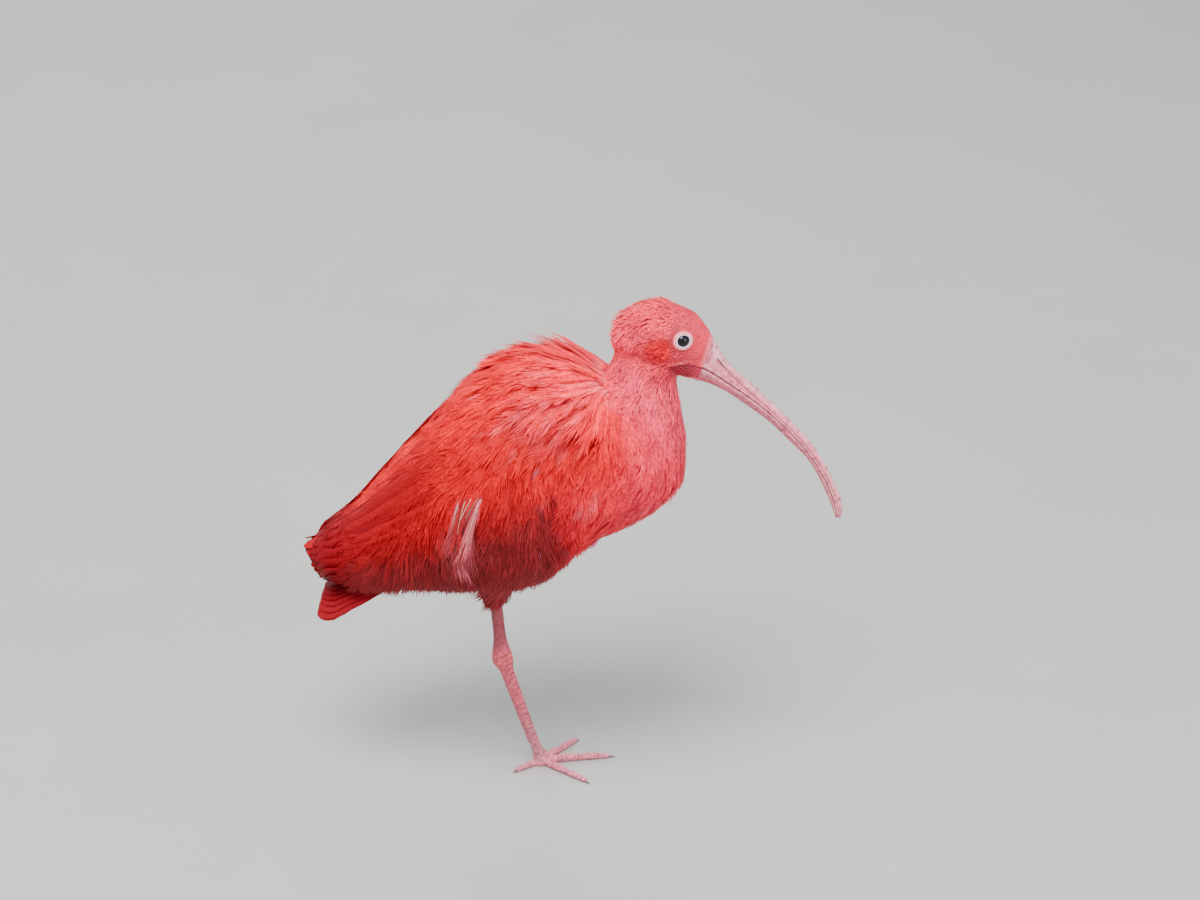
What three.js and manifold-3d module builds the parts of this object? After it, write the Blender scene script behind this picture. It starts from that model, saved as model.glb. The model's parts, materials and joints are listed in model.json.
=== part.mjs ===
// Scarlet ibis, life size, resting on one leg with its neck drawn in.
// Units are millimetres. +X is the way the bird faces, +Y is its left side, +Z is up.
import * as THREE from 'three';
import { LoftGeometry } from 'three/addons/geometries/LoftGeometry.js';
import { mergeVertices } from 'three/addons/utils/BufferGeometryUtils.js';
import Module from 'manifold-3d';

const wasm = await Module();
wasm.setup();

// Driving sizes
const GAP = 0.3; // room between two neighbouring parts
const RIGHT = -1; // sign of Y on the bird's right side
const LEFT = 1; // sign of Y on the bird's left side
const SIDES = [RIGHT, LEFT];
const SIDEWAYS = new THREE.Vector3(0, 1, 0);
const UPWARD = new THREE.Vector3(0, 0, 1);
const BODY_POINTS = 24; // points round one section of the body
const NECK_POINTS = 22;
const HEAD_POINTS = 24;
const HEAD_SQUARENESS = 2.15; // 2 is an ellipse
const WING_DEPTH = 5.5; // how deep the folded wing lies in the plumage
const EYE_RADIUS = 5.4;
const EYE_CENTRE = [98.8, 12.9, 345.3];
const EYE_AXIS = [0.3, 1, 0.16]; // the way the left eye looks
const LEG_TOP = [-33, -17.5, 144]; // bare shank where it leaves the feathers
const HOCK = [-27, -9.5, 93];
const ANKLE = [-1.5, 0, 12]; // foot of the tarsus, above the toes
const SOLE_HEIGHT = 9; // where the foot meets the tarsus
const TARSUS_PLATES = 12;
const TUCKED_HOCK = [-47, 33, 151];
const TUCKED_ANKLE = [30, 33, 177];
const THIGH_TOP_RIGHT = [-26, -24, 182];
const THIGH_END_RIGHT = [-33, -17.5, 139];
const THIGH_RADII_RIGHT = [17, 15.5, 13.4, 10.8, 7];
const THIGH_TOP_LEFT = [-2, 30, 186];
const THIGH_END_LEFT = [-37.1, 32.3, 158.7];
const THIGH_RADII_LEFT = [15, 14, 12, 9.5, 6.6];

// Outer form of the closed plumage: x, height of the middle, half height, half width
const PLUMAGE_STATIONS = [
  [-172, 167, 8, 8],
  [-157, 170, 17.5, 21],
  [-127, 181, 32, 34],
  [-86, 206.5, 54.5, 49],
  [-43, 229.5, 78.5, 60],
  [-12, 240, 89, 62],
  [8, 245, 85, 62],
  [24, 252, 75, 61],
  [42, 254.5, 65.5, 59],
  [70, 254, 51, 50],
  [88, 251, 34, 37],
  [99, 249, 19, 21],
  [104, 248, 5, 6],
];
const RUMP_START = -72; // the trunk narrows to the rump behind this
const RUMP_END = -127;
const TRUNK_PLACES = [
  -127, -121, -112, -100, -86, -70, -52, -34, -16, 2, 20, 36, 50, 62, 74, 85, 94, 100, 104,
];

// Neck sections: back x, back z, front x, front z, half width
const NECK_SECTIONS = [
  [12, 262, 98, 226, 44],
  [30, 288, 104, 252, 37],
  [43, 308, 102, 276, 28],
  [49, 322, 98.5, 296, 23],
  [53, 336, 98, 312, 20],
  [60, 348, 100, 326, 15],
];

// Head sections: x, height of the middle, half height, half width
const HEAD_SECTIONS = [
  [52, 339, 3, 3],
  [54.5, 339.5, 10, 9],
  [60, 341, 16.5, 14],
  [68, 342.5, 21, 17.5],
  [78, 343.5, 23.8, 20],
  [90, 342, 25.5, 19.8],
  [102, 336.5, 26.5, 16.8],
  [112, 330.5, 25.5, 13],
  [119, 325, 22, 10.8],
  [126, 318, 17, 9],
];

// Bill outlines in the middle plane, x and z from base to tip
const CULMEN = [
  [119, 344], [127, 328], [139.4, 313], [153.4, 299.9], [167.6, 285],
  [181.8, 269.7], [196.1, 250.1], [207.1, 228.1], [212.9, 208.4], [212.2, 201],
];
const MOUTH_LINE = [
  [104.5, 326], [118.4, 318.5], [133, 307.6], [148.6, 295.6], [163.3, 282],
  [177.9, 266], [192.3, 246.2], [202.9, 225.4], [208.5, 207.9], [210.2, 200.8],
];
const LOWER_EDGE = [
  [98, 309.5], [112, 308.5], [127, 302], [142.8, 290.5], [158.6, 278],
  [174, 262.2], [189.5, 244.3], [199.7, 223.6], [205.9, 207.8], [208, 201],
];
const BILL_BASE_TOP = [119.5, 338.5]; // the plane between face and bill
const BILL_BASE_LOW = [107.2, 304];
const BILL_STEPS = 15;
const BILL_BASE_HALF = 9.6; // half width at the face
const BILL_TIP_HALF = 3.1;
const BILL_LEAST_DEPTH = 1.6;
const LOWER_BILL_SHARE = 0.96; // its width against the upper half

// Half sections of the bill: share of the half width, share of the depth from the mouth line
const UPPER_BILL_SHAPE = [[1, 0.02], [1, 0.25], [0.86, 0.5], [0.9, 0.66], [0.62, 0.9], [0.2, 1]];
const LOWER_BILL_SHAPE = [[1, 0], [0.97, 0.35], [0.72, 0.78], [0.28, 1]];

// Nostril: x, y, z and half depth of the slit from its upper to its lower end
const NOSTRIL_ROWS = [
  [126.6, 7.6, 326, 0.2], [129.6, 7.1, 322.6, 0.75], [133.2, 6.7, 318.4, 0.75], [137, 6.2, 314, 0],
];
const NOSTRIL_DEPTH = 1.7;

// Mouth line on the cheek: x, y, z and height of the slit, from its corner to the bill
const MOUTH_ROWS = [
  [91, 17.4, 325, 0.34], [97, 16.6, 326.3, 0.59], [105, 14.6, 325.4, 0.67], [112.5, 11.8, 321.6, 0.84],
];
const MOUTH_END = [119.5, 9, 317.6];
const MOUTH_DEPTH = 1.8;

// Lid ring round the eye: distance from the eye's axis, height along it
const LID_PROFILE = [[4.5, 2.6], [4.6, 4.3], [6, 5.2], [7.6, 4.3], [8, 1.2], [4.5, 2.6]];

// The folded wing's arm and hand
const ARM_FRONT = 60;
const ARM_BACK = -100;
const ARM_STEPS = 9;
const ARM_COLUMNS = [0, 0.15, 0.38, 0.62, 0.85, 1]; // shares across the wing
const ARM_BED = -7.5; // height of its inner face over the plumage
const ARM_EDGE_SLOPE = 3.6; // how far its long edges lie below its middle
const ARM_FRONT_SLOPE = 2.4;
const ARM_LEAST_DEPTH = 1.1;

// Each wing tier: x of the roots and tips from its upper to its lower vane, its share across
const WING_TIERS = [
  {
    count: 7, root: [-66, -84], tip: [-164, -158], across: [0.3, 0.97],
    half: 8, lift: [-5.2, -3.4], tilt: 8,
  },
  {
    count: 9, root: [-32, -8], tip: [-156, -80], across: [0.14, 0.97],
    half: 9.5, lift: [-4, -1.4], tilt: 9,
  },
  {
    count: 7, root: [0, 22], tip: [-72, -30], across: [0.12, 0.94],
    half: 9.8, lift: [-1.4, 0.6], tilt: 8,
  },
  {
    count: 6, root: [22, 40], tip: [-28, 6], across: [0.12, 0.9],
    half: 9.6, lift: [-0.6, 1.6], tilt: 7,
  },
];
const WING_VANE_SHARES = [0, 0.3, 0.62, 0.9, 1];
const WING_VANE_WIDTHS = [0.6, 0.95, 1, 0.8, 0];
const VANE_HALF_THICK = 0.45;

// Each tier of long loose vanes on the back: x of the roots, spread from the top in degrees
const BACK_TIERS = [
  { x: 38, count: 7, length: 38, spread: 58 },
  { x: 12, count: 8, length: 44, spread: 62 },
  { x: -16, count: 8, length: 48, spread: 56 },
  { x: -46, count: 7, length: 52, spread: 42 },
  { x: -78, count: 5, length: 50, spread: 26 },
];
const BACK_VANE_SHARES = [0, 0.35, 0.7, 1];
const BACK_VANE_HALVES = [4, 8, 6.6, 0];
const BACK_VANE_LIFT = [5.5, 8.5]; // height of the tips over the plumage
const BACK_VANE_ROOT = -4;

// Tail: x and z of its root and tip in the middle plane
const TAIL_ROOT = [-90, 168];
const TAIL_TIP = [-157, 139];
const TAIL_HALF_WIDTHS = [9, 22]; // at root and tip
const TAIL_ARCH = 6;
const TAIL_VANES = 12;
const TAIL_LAYER = 3.2; // how far the outermost vane lies below the middle one
const TAIL_VANE_SHARES = [0, 0.3, 0.65, 0.9, 1];
const TAIL_VANE_HALVES = [4, 6, 7, 5.2, 0];
const TAIL_BLOCK = [[-84, 170, 13, 9], [-96, 165, 13, 8], [-108, 160, 11, 5], [-118, 156, 7, 2]];

// Bare shank: share of its length, half width, half depth
const SHANK_ROWS = [[0, 4.3, 4.6], [0.3, 3.9, 4.1], [0.6, 4, 4.3], [0.85, 5.6, 6.4], [1.02, 6.2, 7.4]];

// Each toe of the standing foot: heading in degrees from straight ahead, length, number of pads
const TOES = [
  { heading: 8.6, length: 55, pads: 3, half: 3.1 },
  { heading: -40, length: 47, pads: 4, half: 2.8 },
  { heading: 50, length: 43, pads: 2, half: 2.8 },
  { heading: 216, length: 25, pads: 1, half: 2.5 },
];
const CLAW_START = 0.84; // share of a toe's length
const CLAW_ROWS = [[0.93, 1.1, 1.9], [1, 0.35, 0.6]]; // share of the length, half width, height
const TOE_SECTION = [
  [0.62, 0], [1, 0.3], [0.92, 0.62], [0.5, 0.95], [-0.5, 0.95], [-0.92, 0.62], [-1, 0.3], [-0.62, 0],
];
const PALM_PROFILE = [[0, 0], [5.4, 0], [6.3, 2.6], [5.6, 6], [4.4, SOLE_HEIGHT], [0, SOLE_HEIGHT]];

// Toes of the drawn-up foot: steps from the ankle in x and z, half thickness at each
const TUCKED_PATH = [[2, 0.3], [11, -3], [8, -11.5], [-6, -15.5], [-20, -20.5], [-29, -24.5]];
const TUCKED_HALVES = [3.5, 3.2, 3.1, 2.7, 2.2, 0.5];
const TUCKED_TOES = [[-5.5, 0.9], [0, 1], [5.5, 0.92]]; // step to the side, share of the length
const HIND_PATH = [[4, 3], [12, 4.5], [17.5, 0], [19.5, -7]];
const HIND_HALVES = [2.6, 2.4, 2, 0.5];
const TUCKED_PALM = 5.6;

// Planes that part the body
const NECK_FOOT = [48, 0, 316];
const NECK_FOOT_NORMAL = [1, 0, 1.05];
const HEAD_FOOT = [76, 0, 321];
const HEAD_FOOT_NORMAL = [0.58, 0, 1];
const SHANK_SUNK = 5; // how far the bare shank starts inside the thigh's feathers
const HOCK_FACE = 3; // how far above the hock's middle shank and tarsus meet
const ANKLE_SUNK = new THREE.Vector3(1, 0, -4); // from the ankle to the tarsus's hidden end

// Small helpers

function vec(x, y, z) {
  return new THREE.Vector3(x, y, z);
}

function at(list) {
  return vec(list[0], list[1], list[2]);
}

function degrees(value) {
  return THREE.MathUtils.degToRad(value);
}

// A repeatable random draw from 0 to 1
function makeRandom(seed) {
  let state = seed;
  return () => {
    state = (state * 1664525 + 1013904223) % 4294967296;
    return state / 4294967296;
  };
}

// A closed geometry as a solid, with its faces turned outward
function solidOf(geometry) {
  const bare = new THREE.BufferGeometry();
  bare.setAttribute('position', geometry.attributes.position);
  bare.setIndex(geometry.index);
  const merged = mergeVertices(bare, 1e-4);
  const points = new Float32Array(merged.attributes.position.array);
  const faces = new Uint32Array(merged.index.array);
  let volume = 0;
  const corners = [vec(), vec(), vec()];
  for (let i = 0; i < faces.length; i += 3) {
    corners.forEach((corner, k) => corner.fromArray(points, faces[i + k] * 3));
    volume += corners[0].dot(corners[1].cross(corners[2]));
  }
  if (volume < 0) {
    for (let i = 0; i < faces.length; i += 3) {
      [faces[i], faces[i + 1]] = [faces[i + 1], faces[i]];
    }
  }
  return new wasm.Manifold(new wasm.Mesh({ numProp: 3, vertProperties: points, triVerts: faces }));
}

function join(solids) {
  return solids.reduce((whole, piece) => whole.add(piece));
}

function cutAll(solid, cutters) {
  return cutters.reduce((rest, cutter) => rest.subtract(cutter), solid);
}

// The largest closed body of a solid
function largest(solid) {
  const bodies = solid.decompose();
  return bodies.reduce((best, body) => (body.volume() > best.volume() ? body : best));
}

// The part of a solid on the side of a plane that its normal points to
function trim(solid, point, normal) {
  const unit = normal.clone().normalize();
  return solid.trimByPlane([unit.x, unit.y, unit.z], unit.dot(point));
}

// A ring of points round a centre, from its sideways and upward half axes
function ring(centre, sideways, upward, count, squareness = 2) {
  const points = [];
  for (let i = 0; i < count; i += 1) {
    const angle = ((i + 0.5) * 2 * Math.PI) / count;
    const across = Math.sign(Math.cos(angle)) * Math.abs(Math.cos(angle)) ** (2 / squareness);
    const along = Math.sign(Math.sin(angle)) * Math.abs(Math.sin(angle)) ** (2 / squareness);
    points.push(centre.clone().addScaledVector(sideways, across).addScaledVector(upward, along));
  }
  return points;
}

function middleOf(points) {
  return points.reduce((sum, point) => sum.add(point), vec(0, 0, 0)).divideScalar(points.length);
}

// A closed solid through rings of points, which may turn either way round
function loft(sections) {
  const start = middleOf(sections[0]);
  const advance = middleOf(sections[1]).sub(start);
  const turning = vec(0, 0, 0);
  sections[0].forEach((point, i) => {
    const next = sections[0][(i + 1) % sections[0].length];
    turning.add(point.clone().sub(start).cross(next.clone().sub(start)));
  });
  const rings = turning.dot(advance) > 0 ? sections : sections.map((points) => [...points].reverse());
  return solidOf(new LoftGeometry(rings, { closed: true, capStart: true, capEnd: true }));
}

// A round-sectioned limb along points, with a half width and half depth at each
function limb(points, halfWidths, halfDepths, count, widthAxis) {
  const sections = points.map((point, i) => {
    const before = points[Math.max(i - 1, 0)];
    const after = points[Math.min(i + 1, points.length - 1)];
    const along = after.clone().sub(before).normalize();
    const depth = along.clone().cross(widthAxis).normalize();
    const width = depth.clone().cross(along).normalize();
    return ring(point, width.multiplyScalar(halfWidths[i]), depth.multiplyScalar(halfDepths[i]), count);
  });
  return loft(sections);
}

// Values that run smoothly through the rows of a table whose first column is the key
function smoothTable(rows) {
  const keys = rows.map((row) => row[0]);
  const values = rows.flatMap((row) => row.slice(1));
  return new THREE.CubicInterpolant(keys, values, rows[0].length - 1);
}

// One feather vane: rows of centre, normal, half width and half thickness, root to tip.
// Both faces are split into triangles alike, so a thin curved vane does not cross itself.
function vane(rows, grow = 0) {
  const points = [];
  const faces = [];
  const last = rows.length - 1;
  rows.forEach((row, i) => {
    const before = rows[Math.max(i - 1, 0)].centre;
    const after = rows[Math.min(i + 1, last)].centre;
    const along = after.clone().sub(before).normalize();
    const across = along.clone().cross(row.normal).normalize();
    const up = across.clone().cross(along).normalize();
    const half = row.halfWidth + grow;
    const thick = row.halfThick + grow;
    if (i === last) {
      points.push(row.centre.clone().addScaledVector(along, grow));
      return;
    }
    points.push(
      row.centre.clone().addScaledVector(across, -half).addScaledVector(up, -row.droop),
      row.centre.clone().addScaledVector(up, thick),
      row.centre.clone().addScaledVector(across, half).addScaledVector(up, -row.droop),
      row.centre.clone().addScaledVector(up, -thick),
    );
  });
  for (let i = 0; i < last - 1; i += 1) {
    const a = i * 4;
    const b = a + 4;
    for (const [edge, turn] of [[0, 1], [2, -1]]) {
      for (const [face, flip] of [[1, 1], [3, -1]]) {
        const quads = [[a + edge, b + edge, a + face], [a + face, b + edge, b + face]];
        for (const tri of quads) {
          faces.push(...(turn * flip > 0 ? tri : [tri[0], tri[2], tri[1]]));
        }
      }
    }
  }
  const base = (last - 1) * 4;
  const tip = last * 4;
  for (let k = 0; k < 4; k += 1) {
    faces.push(base + ((k + 1) % 4), base + k, tip);
  }
  faces.push(0, 1, 2, 0, 2, 3);
  const geometry = new THREE.BufferGeometry();
  const places = points.flatMap((point) => point.toArray());
  geometry.setAttribute('position', new THREE.Float32BufferAttribute(places, 3));
  geometry.setIndex(faces);
  return solidOf(geometry);
}

// Body: the trunk, neck and head are shaped whole and then parted

const plumageTable = smoothTable(PLUMAGE_STATIONS);

function plumage(x) {
  const [middle, halfHeight, halfWidth] = plumageTable.evaluate(x);
  return { middle, halfHeight, halfWidth };
}

// A point on the plumage at x, at an angle from the top, a height above its surface
function plumagePoint(x, angle, side, height) {
  const { middle, halfHeight, halfWidth } = plumage(x);
  const across = Math.sin(degrees(angle));
  const upward = Math.cos(degrees(angle));
  const normal = new THREE.Vector2(across / halfWidth, upward / halfHeight).normalize();
  return vec(
    x,
    side * (halfWidth * across + normal.x * height),
    middle + halfHeight * upward + normal.y * height,
  );
}

function plumageNormal(x, angle, side) {
  const step = 4;
  const here = plumagePoint(x, angle, side, 0);
  const along = plumagePoint(x + step, angle, side, 0).sub(plumagePoint(x - step, angle, side, 0));
  const round = plumagePoint(x, angle + step, side, 0).sub(here);
  return along.cross(round).normalize().multiplyScalar(side);
}

// Depth of the hollow that the folded wing fills, at an angle from the top
function wingHollow(angle, x) {
  const upper = THREE.MathUtils.smoothstep(angle, wingTop(x) - 6, wingTop(x) + 6);
  const lower = 1 - THREE.MathUtils.smoothstep(angle, wingFoot(x) - 6, wingFoot(x) + 6);
  const front = 1 - THREE.MathUtils.smoothstep(x, 44, 60);
  return WING_DEPTH * upper * lower * front;
}

// Angles from the top at which the folded wing starts and ends
function wingTop(x) {
  return THREE.MathUtils.mapLinear(x, 60, -140, 46, 5);
}

function wingFoot(x) {
  return THREE.MathUtils.clamp(THREE.MathUtils.mapLinear(x, 60, -60, 104, 142), 104, 150);
}

// How much the trunk narrows towards the rump
function rumpTaper(x) {
  const share = THREE.MathUtils.clamp((x - RUMP_START) / (RUMP_END - RUMP_START), 0, 1);
  return Math.sqrt(Math.max(1 - share ** 2.2, 0.004));
}

function trunkSection(x, grow) {
  const { middle, halfHeight, halfWidth } = plumage(x);
  const points = [];
  for (let i = 0; i < BODY_POINTS; i += 1) {
    const turn = ((i + 0.5) * 360) / BODY_POINTS;
    const angle = turn > 180 ? 360 - turn : turn;
    const side = turn > 180 ? LEFT : RIGHT;
    const taper = rumpTaper(x);
    const inset = (wingHollow(angle, x) - grow) * Math.min(taper * 2, 1);
    points.push(vec(
      x,
      side * Math.sin(degrees(angle)) * (halfWidth * taper - inset),
      middle + Math.cos(degrees(angle)) * (halfHeight * taper - inset),
    ));
  }
  return points;
}

function makeTrunk(grow) {
  const places = [...TRUNK_PLACES];
  places[0] -= grow;
  places[places.length - 1] += grow;
  return loft(places.map((x) => trunkSection(x, grow)));
}

function makeNeck() {
  const sections = NECK_SECTIONS.map(([backX, backZ, frontX, frontZ, halfWidth]) => {
    const back = vec(backX, 0, backZ);
    const centre = back.clone().lerp(vec(frontX, 0, frontZ), 0.5);
    return ring(centre, vec(0, halfWidth, 0), back.sub(centre), NECK_POINTS);
  });
  return loft(sections);
}

function makeHead() {
  const sections = HEAD_SECTIONS.map(([x, middle, halfHeight, halfWidth]) => (
    ring(vec(x, 0, middle), vec(0, halfWidth, 0), vec(0, 0, halfHeight), HEAD_POINTS, HEAD_SQUARENESS)
  ));
  return loft(sections);
}

// Eyes and lids

function eyeFrame(side) {
  const axis = vec(EYE_AXIS[0], EYE_AXIS[1] * side, EYE_AXIS[2]).normalize();
  return new THREE.Matrix4().compose(
    vec(EYE_CENTRE[0], EYE_CENTRE[1] * side, EYE_CENTRE[2]),
    new THREE.Quaternion().setFromUnitVectors(vec(0, 1, 0), axis),
    vec(1, 1, 1),
  );
}

function eyeBall(side, grow) {
  const geometry = new THREE.SphereGeometry(EYE_RADIUS + grow, 14, 8);
  return solidOf(geometry.applyMatrix4(eyeFrame(side)));
}

// The raised ring of bare skin round the eye, with the lid edge inside it
function eyeLid(side) {
  const profile = LID_PROFILE.map(([radius, height]) => new THREE.Vector2(radius, height));
  const geometry = new THREE.LatheGeometry(profile, 16);
  geometry.scale(1.02, 1, 0.95);
  return solidOf(geometry.applyMatrix4(eyeFrame(side)));
}

// The line of the mouth as it runs back from the bill into the cheek
function mouthCut(side) {
  const rows = MOUTH_ROWS.map(([x, y, z, halfThick]) => ({
    centre: vec(x, y * side, z),
    normal: vec(0, 0, 1),
    halfWidth: MOUTH_DEPTH,
    halfThick,
    droop: 0,
  }));
  const [x, y, z] = MOUTH_END;
  rows.push({ centre: vec(x, y * side, z), normal: vec(0, 0, 1), halfWidth: 0, halfThick: 0, droop: 0 });
  return vane(rows);
}

// Bill

function outline(points) {
  return new THREE.CatmullRomCurve3(points.map(([x, z]) => vec(x, 0, z)), false, 'centripetal');
}

const culmen = outline(CULMEN);
const mouthLine = outline(MOUTH_LINE);
const lowerEdge = outline(LOWER_EDGE);

function billHalfWidth(t) {
  return THREE.MathUtils.lerp(BILL_BASE_HALF, BILL_TIP_HALF, 1 - (1 - t) ** 2.1);
}

// A closed section from its left half, made by a function of share across and share along
function mirrored(shape, place) {
  const left = shape.map(([across, along]) => place(across, along));
  const right = shape.map(([across, along]) => place(-across, along));
  return left.concat(right.reverse());
}

function upperBillSection(t) {
  const top = culmen.getPoint(t);
  const low = mouthLine.getPoint(t);
  const half = billHalfWidth(t);
  const rise = top.clone().sub(low);
  return mirrored(UPPER_BILL_SHAPE, (y, up) => (
    low.clone().addScaledVector(rise, up).add(vec(0, half * y, 0))
  ));
}

function lowerBillSection(t) {
  const top = mouthLine.getPoint(t);
  const low = lowerEdge.getPoint(t);
  const half = billHalfWidth(t) * LOWER_BILL_SHARE;
  const drop = low.clone().sub(top);
  top.addScaledVector(drop.clone().normalize(), GAP);
  drop.setLength(Math.max(drop.length() - GAP, BILL_LEAST_DEPTH));
  return mirrored(LOWER_BILL_SHAPE, (y, down) => (
    top.clone().addScaledVector(drop, down).add(vec(0, half * y, 0))
  ));
}

function makeBill(section) {
  const sections = [];
  for (let i = 0; i <= BILL_STEPS; i += 1) {
    sections.push(section(i / BILL_STEPS));
  }
  return loft(sections.reverse());
}

function nostril(side) {
  return vane(NOSTRIL_ROWS.map(([x, y, z, half]) => ({
    centre: vec(x, y * side, z),
    normal: vec(1, 0, 1).normalize(),
    halfWidth: NOSTRIL_DEPTH * Math.sign(half),
    halfThick: half,
    droop: 0,
  })));
}

// Wings: a thin folded arm and hand with tiers of vanes rooted in it

function wingPoint(x, across, side, height) {
  const angle = THREE.MathUtils.lerp(wingTop(x), wingFoot(x), across);
  return plumagePoint(x, angle, side, height);
}

function wingNormal(x, across, side) {
  const angle = THREE.MathUtils.lerp(wingTop(x), wingFoot(x), across);
  return plumageNormal(x, angle, side);
}

function makeArm(side) {
  const sections = [];
  for (let i = 0; i <= ARM_STEPS; i += 1) {
    const share = i / ARM_STEPS;
    const x = THREE.MathUtils.lerp(ARM_FRONT, ARM_BACK, share);
    const top = THREE.MathUtils.lerp(0.4, -3.4, THREE.MathUtils.smoothstep(share, 0.2, 0.9));
    const front = i === 0 ? ARM_FRONT_SLOPE : 0;
    const inner = ARM_COLUMNS.map((across) => wingPoint(x, across, side, ARM_BED));
    const outer = ARM_COLUMNS.map((across) => {
      const edge = across === 0 || across === 1 ? ARM_EDGE_SLOPE : 0;
      return wingPoint(x, across, side, Math.max(top - edge - front, ARM_BED + ARM_LEAST_DEPTH));
    });
    sections.push(inner.concat(outer.reverse()));
  }
  return loft(sections);
}

// A vane lying on the wing from a root to a tip, each given as x and a share across the wing
function wingVane(side, root, tip, halfWidth, lift, tilt, random) {
  const along = wingPoint(tip[0], tip[1], side, 0).sub(wingPoint(root[0], root[1], side, 0)).normalize();
  const rows = WING_VANE_SHARES.map((share, i) => {
    const x = THREE.MathUtils.lerp(root[0], tip[0], share);
    const across = THREE.MathUtils.lerp(root[1], tip[1], share);
    const height = THREE.MathUtils.lerp(lift[0], lift[1], Math.min(share * 3, 1));
    return {
      centre: wingPoint(x, across, side, height),
      normal: wingNormal(x, across, side).applyAxisAngle(along, degrees(tilt * side)),
      halfWidth: halfWidth * WING_VANE_WIDTHS[i],
      halfThick: share < 1 ? VANE_HALF_THICK : 0,
      droop: halfWidth * 0.05,
    };
  });
  rows[rows.length - 1].centre.z += (random() - 0.5) * 1.5;
  return vane(rows);
}

function makeWing(side) {
  const random = makeRandom(side === LEFT ? 11 : 23);
  const pieces = [makeArm(side)];
  for (const tier of WING_TIERS) {
    for (let i = 0; i < tier.count; i += 1) {
      const share = i / (tier.count - 1);
      const across = THREE.MathUtils.lerp(tier.across[0], tier.across[1], share);
      const wander = (random() - 0.5) * 5;
      const root = [THREE.MathUtils.lerp(tier.root[0], tier.root[1], share), across];
      const tip = [THREE.MathUtils.lerp(tier.tip[0], tier.tip[1], share) + wander, across];
      pieces.push(wingVane(side, root, tip, tier.half, tier.lift, tier.tilt, random));
    }
  }
  return join(pieces);
}

// Long scapular and mantle vanes that stand a little off the back
function backVanes(grow) {
  const random = makeRandom(7);
  const vanes = [];
  for (const tier of BACK_TIERS) {
    for (let i = 0; i < tier.count; i += 1) {
      const lane = THREE.MathUtils.lerp(-tier.spread, tier.spread, i / (tier.count - 1));
      const turn = lane + (random() - 0.5) * 4;
      const side = turn < 0 ? RIGHT : LEFT;
      const rootAngle = Math.abs(turn) * 0.62;
      const tipAngle = Math.abs(turn);
      const length = tier.length * (0.9 + random() * 0.25);
      const lifted = THREE.MathUtils.lerp(BACK_VANE_LIFT[0], BACK_VANE_LIFT[1], random());
      const rows = BACK_VANE_SHARES.map((share, k) => {
        const x = tier.x - length * share;
        const angle = THREE.MathUtils.lerp(rootAngle, tipAngle, share);
        const height = THREE.MathUtils.lerp(BACK_VANE_ROOT, lifted, Math.min(share * 1.7, 1));
        return {
          centre: plumagePoint(x, angle, side, height),
          normal: plumageNormal(x, angle, side),
          halfWidth: BACK_VANE_HALVES[k],
          halfThick: share < 1 ? VANE_HALF_THICK : 0,
          droop: 0.5,
        };
      });
      vanes.push(vane(rows, grow));
    }
  }
  return vanes;
}

// Tail

function tailPoint(share, spread, lift) {
  const x = THREE.MathUtils.lerp(TAIL_ROOT[0], TAIL_TIP[0], share);
  const z = THREE.MathUtils.lerp(TAIL_ROOT[1], TAIL_TIP[1], share);
  const halfWidth = THREE.MathUtils.lerp(TAIL_HALF_WIDTHS[0], TAIL_HALF_WIDTHS[1], share);
  return vec(x, spread * halfWidth, z - TAIL_ARCH * spread * spread * (0.4 + share) + lift);
}

function makeTail() {
  const block = limb(
    TAIL_BLOCK.map(([x, z]) => vec(x, 0, z)),
    TAIL_BLOCK.map((row) => row[2]),
    TAIL_BLOCK.map((row) => row[3]),
    14,
    SIDEWAYS,
  );
  const pieces = [block];
  for (let i = 0; i < TAIL_VANES; i += 1) {
    const spread = (2 * i) / (TAIL_VANES - 1) - 1;
    const layer = -Math.abs(spread) * TAIL_LAYER;
    const reach = 1 - 0.05 * spread * spread;
    const rows = TAIL_VANE_SHARES.map((share, k) => ({
      centre: tailPoint(share * reach, spread, layer),
      normal: vec(0.4, spread * 0.35, 1).normalize(),
      halfWidth: TAIL_VANE_HALVES[k],
      halfThick: share < 1 ? VANE_HALF_THICK : 0,
      droop: 0.3,
    }));
    pieces.push(vane(rows));
  }
  return join(pieces);
}

// Legs and feet

function makeThigh(top, bottom, radii, grow) {
  const points = radii.map((_, i) => at(top).lerp(at(bottom), i / (radii.length - 1)));
  const halves = radii.map((radius) => radius + grow);
  return limb(points, halves, halves, 14, SIDEWAYS);
}

function makeShank(top, hock) {
  const points = SHANK_ROWS.map(([share]) => top.clone().lerp(hock, share));
  return limb(points, SHANK_ROWS.map((row) => row[1]), SHANK_ROWS.map((row) => row[2]), 12, SIDEWAYS);
}

// The tarsus swells at the hock and carries a row of plates down its front
function makeTarsus(hock, ankle) {
  const points = [];
  const widths = [];
  const depths = [];
  const steps = TARSUS_PLATES * 2;
  for (let i = 0; i <= steps; i += 1) {
    const share = i / steps;
    const swell = Math.exp(-((share / 0.09) ** 2)) * 3.1 + Math.exp(-(((share - 1) / 0.06) ** 2)) * 0.9;
    const ridge = i % 2 === 0 ? 0 : 0.22;
    points.push(hock.clone().lerp(ankle, share));
    widths.push(THREE.MathUtils.lerp(3.7, 2.9, share) + swell * 0.75 + ridge);
    depths.push(THREE.MathUtils.lerp(4.7, 3.3, share) + swell + ridge);
  }
  return limb(points, widths, depths, 10, SIDEWAYS);
}

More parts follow.
